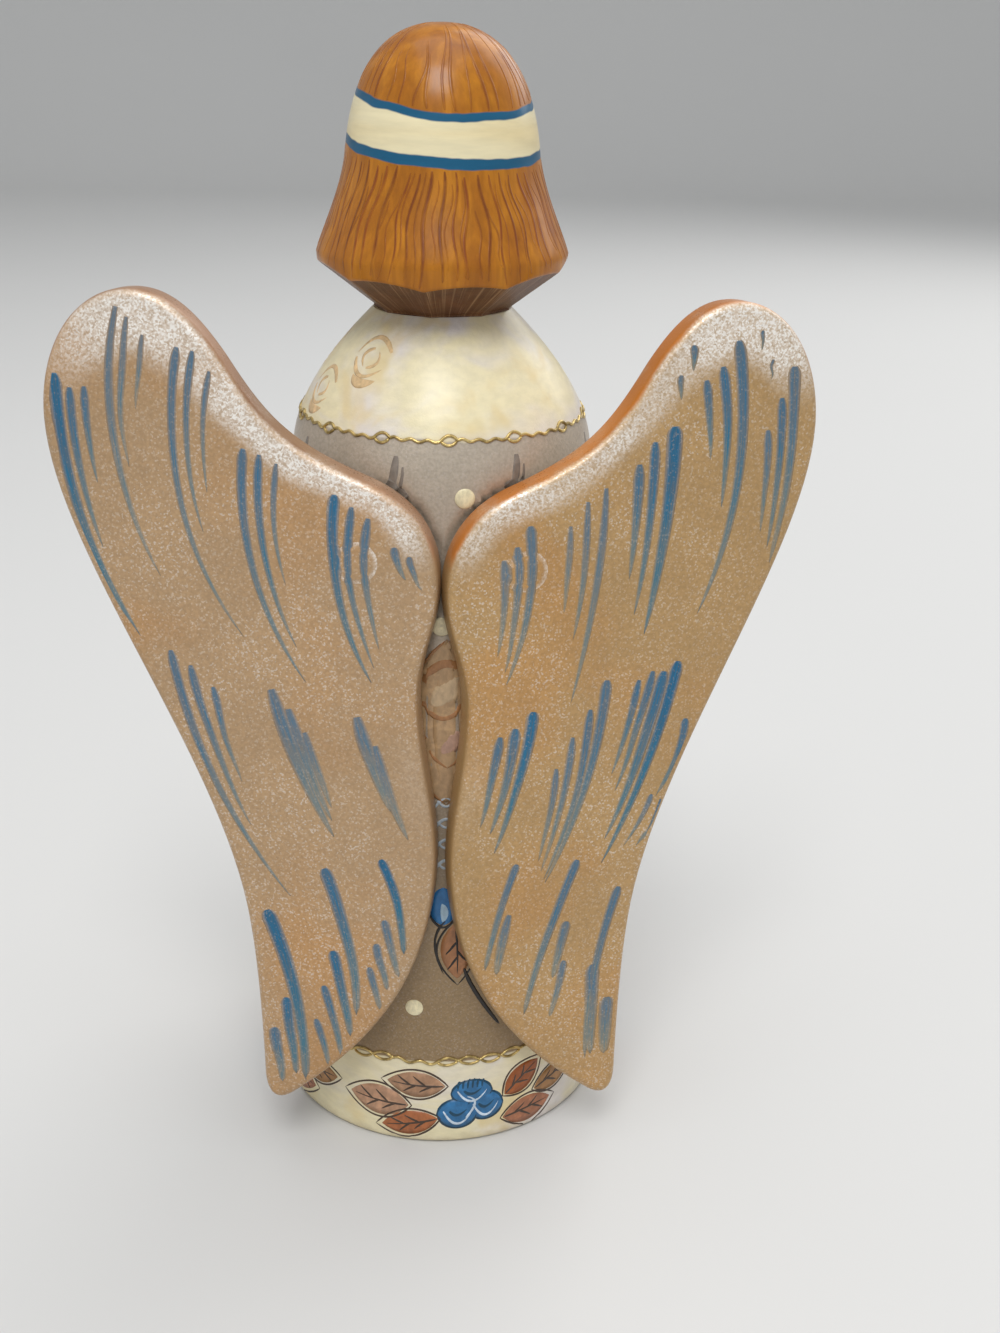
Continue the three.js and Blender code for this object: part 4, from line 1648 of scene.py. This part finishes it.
class Motif:
    """Strokes on the dress, in millimetres of arc to the right of a middle line and of height."""

    def __init__(self, dress, middle=0.0):
        self.place = on_dress(dress, middle)
        self.strokes = []

    def lay(self, start, handle, end, width, colour, **form):
        """Adds a stroke past a handle."""
        path = [self.place(*spot) for spot in (start, handle, end)]
        self.strokes.append(Stroke(*path, width * MM, colour, **form))

    def draw(self, start, middle, end, width, colour, **form):
        """Adds a stroke through three points."""
        handle = [2 * m - (s + e) / 2 for s, m, e in zip(start, middle, end)]
        self.lay(start, handle, end, width, colour, **form)

    def leaf(self, stalk, tip, width, fill, ink):
        """Adds a leaf: a brushed fill inside two outlines, with a midrib and side veins."""
        (a, b), (c, d) = stalk, tip
        span = math.hypot(c - a, d - b)
        out, rise = (b - d) / span, (c - a) / span

        def at(share, offset=0.0):
            return a + (c - a) * share + out * offset, b + (d - b) * share + rise * offset

        self.lay(at(0.05), at(0.45), at(0.93), width * 0.86, fill, petal=0.85)
        outline = {"head": 0.2, "tail": 0.12, "cover": 0.8, "layer": 1.6}
        for side in (-1, 1):
            self.lay(at(0), at(0.45, side * width), at(1.04), 0.38, ink, **outline)
        self.lay(at(0.08), at(0.5, 0.3), at(0.86), 0.55, ink, head=0.3, tail=0.5, layer=2.4)
        for share, side in ((0.24, 1), (0.34, -1), (0.48, 1), (0.58, -1)):
            reach = side * width * 0.3 * (1 - abs(share - 0.4))
            vein = at(share, 0.1), at(share + 0.1, reach * 0.4), at(share + 0.2, reach)
            self.lay(*vein, 0.6, ink, head=0.5, tail=0.4, layer=2.2)

    def blossom(self, u, v, blue):
        """Adds a round folk blossom: three blue petals with pale rims and dark tips."""
        deep, bright, pale = scaled_colour(blue, 0.55), linear(0x2B6A9A), linear(0xC9D6E2)
        for x, z, wide, high in ((0.4, 2.3, 6.6, 4.6), (2.7, -0.5, 5.8, 5.2), (-2, -1.5, 6.4, 5.4)):

            def at(across, up=0.0):
                return u + x + wide * across, v + z + high * up

            rim = 0.5 + 0.25 / wide
            self.draw(at(-rim), at(0), at(rim), high + 0.5, deep, petal=0.5, layer=1.2)
            self.draw(at(-0.5), at(0), at(0.5), high, bright, petal=0.5, layer=1.8)
            light = at(-0.36, 0.1), at(0, -0.36), at(0.38, 0.05)
            self.draw(*light, 0.7, pale, head=0.4, tail=0.4, layer=2.6)
            shade = at(-0.2, 0.1), at(0, -0.05), at(0.25, 0.15)
            self.draw(*shade, 1.1, deep, head=0.4, tail=0.5, layer=2.6)
        for step in range(6):
            x = u - 1.9 + step * 0.8
            tip = (x + 0.4, v + 5.1 - abs(step - 2.5) * 0.25)
            self.draw((x, v + 3.2), (x + 0.1, v + 4.3), tip, 0.5, deep, head=0.3, tail=0.5, layer=2.8)
        curl = (u - 0.6, v - 2.4), (u + 0.9, v + 0.2), (u - 0.4, v + 1.6)
        self.draw(*curl, 0.6, pale, head=0.3, tail=0.3, layer=3.2)


def paint_dress(name, strokes, depth):
    """Brushwork of the ornament on the dress, as a finished piece."""
    carrier = bpy.data.objects["dress_turned"]
    settle(brushwork(name, strokes, carrier, ornament_finish(), depth), "dress_paint")


class ANGEL_OT_paint_hem(Operator):
    """Paint the sprays of leaves and blossoms round the hem"""

    bl_idname = "angel.paint_hem"
    bl_label = "Paint hem"

    def execute(self, context):
        colours = context.scene.angel_paint
        spray = Motif(context.scene.angel_dress)
        for a, b, c, d, width, code in HEM_LEAVES:
            spray.leaf((a, b), (c, d), width, linear(code), colours.ink)
        spray.blossom(4.7, 7.2, colours.blue)
        paint_dress("hem_garland", around(spray.strokes, 4), colours.paint_depth)
        return {"FINISHED"}


class ANGEL_OT_paint_sprigs(Operator):
    """Paint the sprigs on the skirt, the folds under the shoulders and the faint roses on them"""

    bl_idname = "angel.paint_sprigs"
    bl_label = "Paint sprigs"

    def execute(self, context):
        dress = context.scene.angel_dress
        depth = context.scene.angel_paint.paint_depth
        even = {"head": 0.3, "tail": 0.3}

        # Bud with its leaf and stalk
        black, bright, pale = linear(0x1E1814), linear(0x2B6FA8), linear(0xA9C4D6)
        sprig = Motif(dress)
        sprig.leaf((2.2, 41.6), (2.6, 30.4), 6.2, linear(0x9C6B45), black)
        sprig.draw((0.3, 47.4), (0.3, 44), (0.3, 40.8), 4.6, bright, petal=0.6, layer=1.5)
        sprig.draw((0.1, 44.6), (0.5, 43), (0.2, 41.4), 1.8, pale, petal=0.7, layer=2.2)
        sprig.draw((-2, 43), (0.2, 40.4), (2.4, 42.6), 0.5, black, layer=2.6, **even)
        sprig.draw((3.6, 33), (5.6, 28.2), (9.6, 21.6), 0.75, black, petal=0.25, layer=2)
        sprig.draw((0.6, 41.5), (-1, 37.5), (0.4, 32), 0.5, black, head=0.2, tail=0.3, layer=2)

        # Almond above it, with copper outlines and a chain of misty loops below
        fawn, copper, mist = linear(0xB0906A), linear(0xA27348), linear(0xB9C4CC)
        for side in (-3.2, 4.6):
            sprig.draw((0.7, 62), (side, 74), (0.7, 87.5), 6, fawn, petal=0.6, layer=0.9)
        sprig.draw((0.7, 62), (0.7, 74), (0.7, 88), 5, fawn, petal=0.6, layer=1)
        for side in (-6.4, 7.8):
            sprig.draw((0.7, 61.5), (side, 74), (0.7, 88), 0.8, copper, petal=0.3, layer=1.2)
        sprig.draw((-1.6, 77.8), (0.9, 79.8), (3.4, 82), 4.4, linear(0xBFA582), petal=0.6, layer=1.3)
        sprig.draw((-4, 79.4), (0.4, 84.2), (4.6, 80.8), 1.7, copper, petal=0.4, layer=1.7)
        sprig.draw((-4, 79.4), (0.6, 75.6), (4.6, 80.8), 0.9, copper, petal=0.3, layer=1.7)
        sprig.draw((0, 70), (1.5, 71.6), (3, 73.4), 3, linear(0xBA9580), petal=0.6, layer=1.3)
        sprig.draw((-4.2, 76.4), (-2.4, 71), (0.9, 67.6), 0.9, copper, layer=1.7, **even)
        sprig.draw((4.8, 75.4), (4, 71), (0.9, 67.6), 0.9, copper, layer=1.7, **even)
        for level in (50.5, 54, 57.5, 61):
            sprig.draw((-1, level), (0.7, level + 1.6), (2.2, level), 0.6, mist, **even)
            loop = (-0.6, level + 1.2), (0.7, level + 0.2), (1.8, level + 1.2)
            sprig.draw(*loop, 0.45, mist, layer=1.4, **even)
        paint_dress("skirt_sprigs", around(sprig.strokes, 4), depth)

        # Folds under the upper gold line and roses over it
        shadow, peach = linear(0x82786E), linear(0xD6B688)
        strokes = []
        for number in range(8):
            fold = Motif(dress, math.radians(27 + number * 45))
            fold.draw((0.4, 114.4), (0, 110.8), (-1.3, 106.5), 1.5, shadow, head=0.6, tail=0.2)
            fold.draw((1.5, 113), (1.3, 110.4), (0.5, 106), 0.6, shadow, head=0.6, tail=0.2)
            strokes += fold.strokes
        for degrees, level in ROSES:
            rose = Motif(dress, math.radians(degrees))
            for size, start, wide in ((3.2, 0.4, 1), (3, 3.2, 0.9), (1.6, 1.6, 0.8), (1.5, 4.6, 0.7)):
                bends = (start, start + 1.3, start + 2.6)
                petal = [(size * math.cos(bend), level + 0.8 * size * math.sin(bend)) for bend in bends]
                rose.draw(*petal, wide, peach, head=0.4, tail=0.45, layer=0.8)
            leaf = (-2, level - 2.2), (-0.3, level - 3.2), (2.4, level - 2.6)
            rose.draw(*leaf, 1.6, peach, petal=0.8, layer=0.7)
            strokes += rose.strokes
        paint_dress("shoulder_roses", strokes, depth * 0.7)
        return {"FINISHED"}


class ANGEL_OT_draw_gold(Operator):
    """Draw the raised gold lines at the shoulder and the hem"""

    bl_idname = "angel.draw_gold"
    bl_label = "Draw gold lines"

    def execute(self, context):
        dress = context.scene.angel_dress
        colours = context.scene.angel_paint
        carrier = bpy.data.objects["dress_turned"]
        finish = gold_finish(colours)
        lines = (
            ("shoulder_gold", dress.upper_line, 21.3 * MM, 56, 4, 1, 0.1, 1.5 * MM, 0.2 * MM),
            ("hem_gold", dress.lower_line, 27.3 * MM, 48, 6, 4, 0.2, 1.4 * MM, 0.3 * MM),
        )
        labels = ("height", "radius", "slots", "period", "run", "shift", "loop_height", "wave")
        for name, *shape in lines:
            piece = mesh_object(name, [], [])
            form = dict(zip(labels, shape))
            grow(piece, gold_cord(), carrier=carrier, width=colours.cord_width, finish=finish, **form)
            crisp(piece, 60)
            settle(piece, "dress_paint")
        return {"FINISHED"}


class ANGEL_OT_set_dots(Operator):
    """Set the cream dots on the dress"""

    bl_idname = "angel.set_dots"
    bl_label = "Set dots"

    def execute(self, context):
        colours = context.scene.angel_paint
        size = colours.dot_radius
        spots = []
        for level, first, count in ((108.7, 3.2, 6), (89.9, 0, 4), (58, 12.6, 4), (25.7, -4.3, 4)):
            for turn in circle(count):
                place = on_dress(context.scene.angel_dress, turn)
                spots.append((place(first, level), size, size * 0.22, colours.cream))
        piece = drops("dress_dots", spots, bpy.data.objects["dress_turned"], ornament_finish())
        settle(piece, "dress_paint")
        return {"FINISHED"}


# Stage
class ANGEL_OT_set_stage(Operator):
    """Set the floor, the soft light and the camera"""

    bl_idname = "angel.set_stage"
    bl_label = "Set stage"

    def execute(self, context):
        scene = context.scene
        stage = scene.angel_stage
        scene.view_settings.view_transform = "Standard"

        # Floor that sweeps up into a backdrop
        back, bend, reach = -1.6, 0.5, 3.0
        sweep = [(reach, 0.0)]
        for step in range(13):
            a = math.pi / 2 * step / 12
            sweep.append((back - bend * math.sin(a), bend - bend * math.cos(a)))
        sweep.append((back - bend, reach))
        points = [(x, y, z) for y, z in sweep for x in (-reach, reach)]
        faces = [(2 * i, 2 * i + 1, 2 * i + 3, 2 * i + 2) for i in range(len(sweep) - 1)]
        floor = mesh_object("floor", points, faces)
        finish, shader, where = new_finish("floor_paint", 0.85)
        shade = mixed(clouds(where, 3, 3), scaled_colour(stage.floor, 0.97), stage.floor)
        feed(shader["Base Color"], shade)
        coat(floor, finish)

        # Soft light from behind the camera, on the figure's front and from straight above
        watts = 5.0
        for name, place, size in (
            ("key", (0.06, 0.6, 0.95), 0.4),
            ("fill", (-0.6, -0.7, 0.75), 0.9),
            ("top", (0.0, 0.0, 1.3), 1.0),
        ):
            light = bpy.data.lights.new(name, "AREA")
            light.energy = watts
            light.size = size
            lamp = bpy.data.objects.new(name, light)
            lamp.location = place
            aim = Vector((0, 0, 0.08)) - Vector(place)
            lamp.rotation_euler = aim.to_track_quat("-Z", "Y").to_euler()
            scene.collection.objects.link(lamp)
        world = bpy.data.worlds.new("room")
        world.use_nodes = True
        sky = world.node_tree.nodes["Background"].inputs
        sky["Color"].default_value = (0.94, 0.97, 1, 1)
        sky["Strength"].default_value = 0.55
        scene.world = world

        # Camera
        lens = bpy.data.cameras.new("camera")
        lens.sensor_fit = "VERTICAL"
        lens.sensor_height = 36
        lens.lens = stage.focal_length
        lens.clip_start = 0.005
        camera = bpy.data.objects.new("camera", lens)
        place = Matrix.Translation((0, stage.camera_back, stage.camera_height))
        turn = Matrix.Rotation(math.pi + stage.camera_yaw, 4, "Z")
        tilt = Matrix.Rotation(math.pi / 2 - stage.camera_pitch, 4, "X")
        roll = Matrix.Rotation(stage.camera_roll, 4, "Z")
        camera.matrix_world = place @ turn @ tilt @ roll
        scene.collection.objects.link(camera)
        scene.camera = camera
        return {"FINISHED"}


class ANGEL_PT_workbench(Panel):
    """Steps and sizes of the figurine"""

    bl_label = "Painted wooden angel"
    bl_space_type = "VIEW_3D"
    bl_region_type = "UI"
    bl_category = "Angel"

    def draw(self, context):
        for step in STEPS:
            self.layout.operator(step.bl_idname)
        for key, kind in GROUPS.items():
            box = self.layout.box()
            box.label(text=kind.__doc__)
            for name in kind.__annotations__:
                box.prop(getattr(context.scene, key), name)


GROUPS = {
    "angel_dress": AngelDress,
    "angel_head": AngelHead,
    "angel_wings": AngelWings,
    "angel_paint": AngelPaint,
    "angel_stage": AngelStage,
}
STEPS = (
    ANGEL_OT_turn_dress,
    ANGEL_OT_carve_head,
    ANGEL_OT_paint_hair,
    ANGEL_OT_paint_face,
    ANGEL_OT_saw_wings,
    ANGEL_OT_brush_feathers,
    ANGEL_OT_paint_hem,
    ANGEL_OT_paint_sprigs,
    ANGEL_OT_draw_gold,
    ANGEL_OT_set_dots,
    ANGEL_OT_set_stage,
)


def register():
    for kind in (*GROUPS.values(), *STEPS, ANGEL_PT_workbench):
        bpy.utils.register_class(kind)
    for key, kind in GROUPS.items():
        setattr(bpy.types.Scene, key, PointerProperty(type=kind))


def unregister():
    for key in GROUPS:
        delattr(bpy.types.Scene, key)
    for kind in (ANGEL_PT_workbench, *STEPS[::-1], *list(GROUPS.values())[::-1]):
        bpy.utils.unregister_class(kind)


def main():
    register()
    bpy.ops.angel.turn_dress()
    bpy.ops.angel.carve_head()
    bpy.ops.angel.paint_hair()
    bpy.ops.angel.paint_face()
    bpy.ops.angel.saw_wings()
    bpy.ops.angel.brush_feathers()
    bpy.ops.angel.paint_hem()
    bpy.ops.angel.paint_sprigs()
    bpy.ops.angel.draw_gold()
    bpy.ops.angel.set_dots()
    bpy.ops.angel.set_stage()
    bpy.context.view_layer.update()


if __name__ == "__main__":
    main()
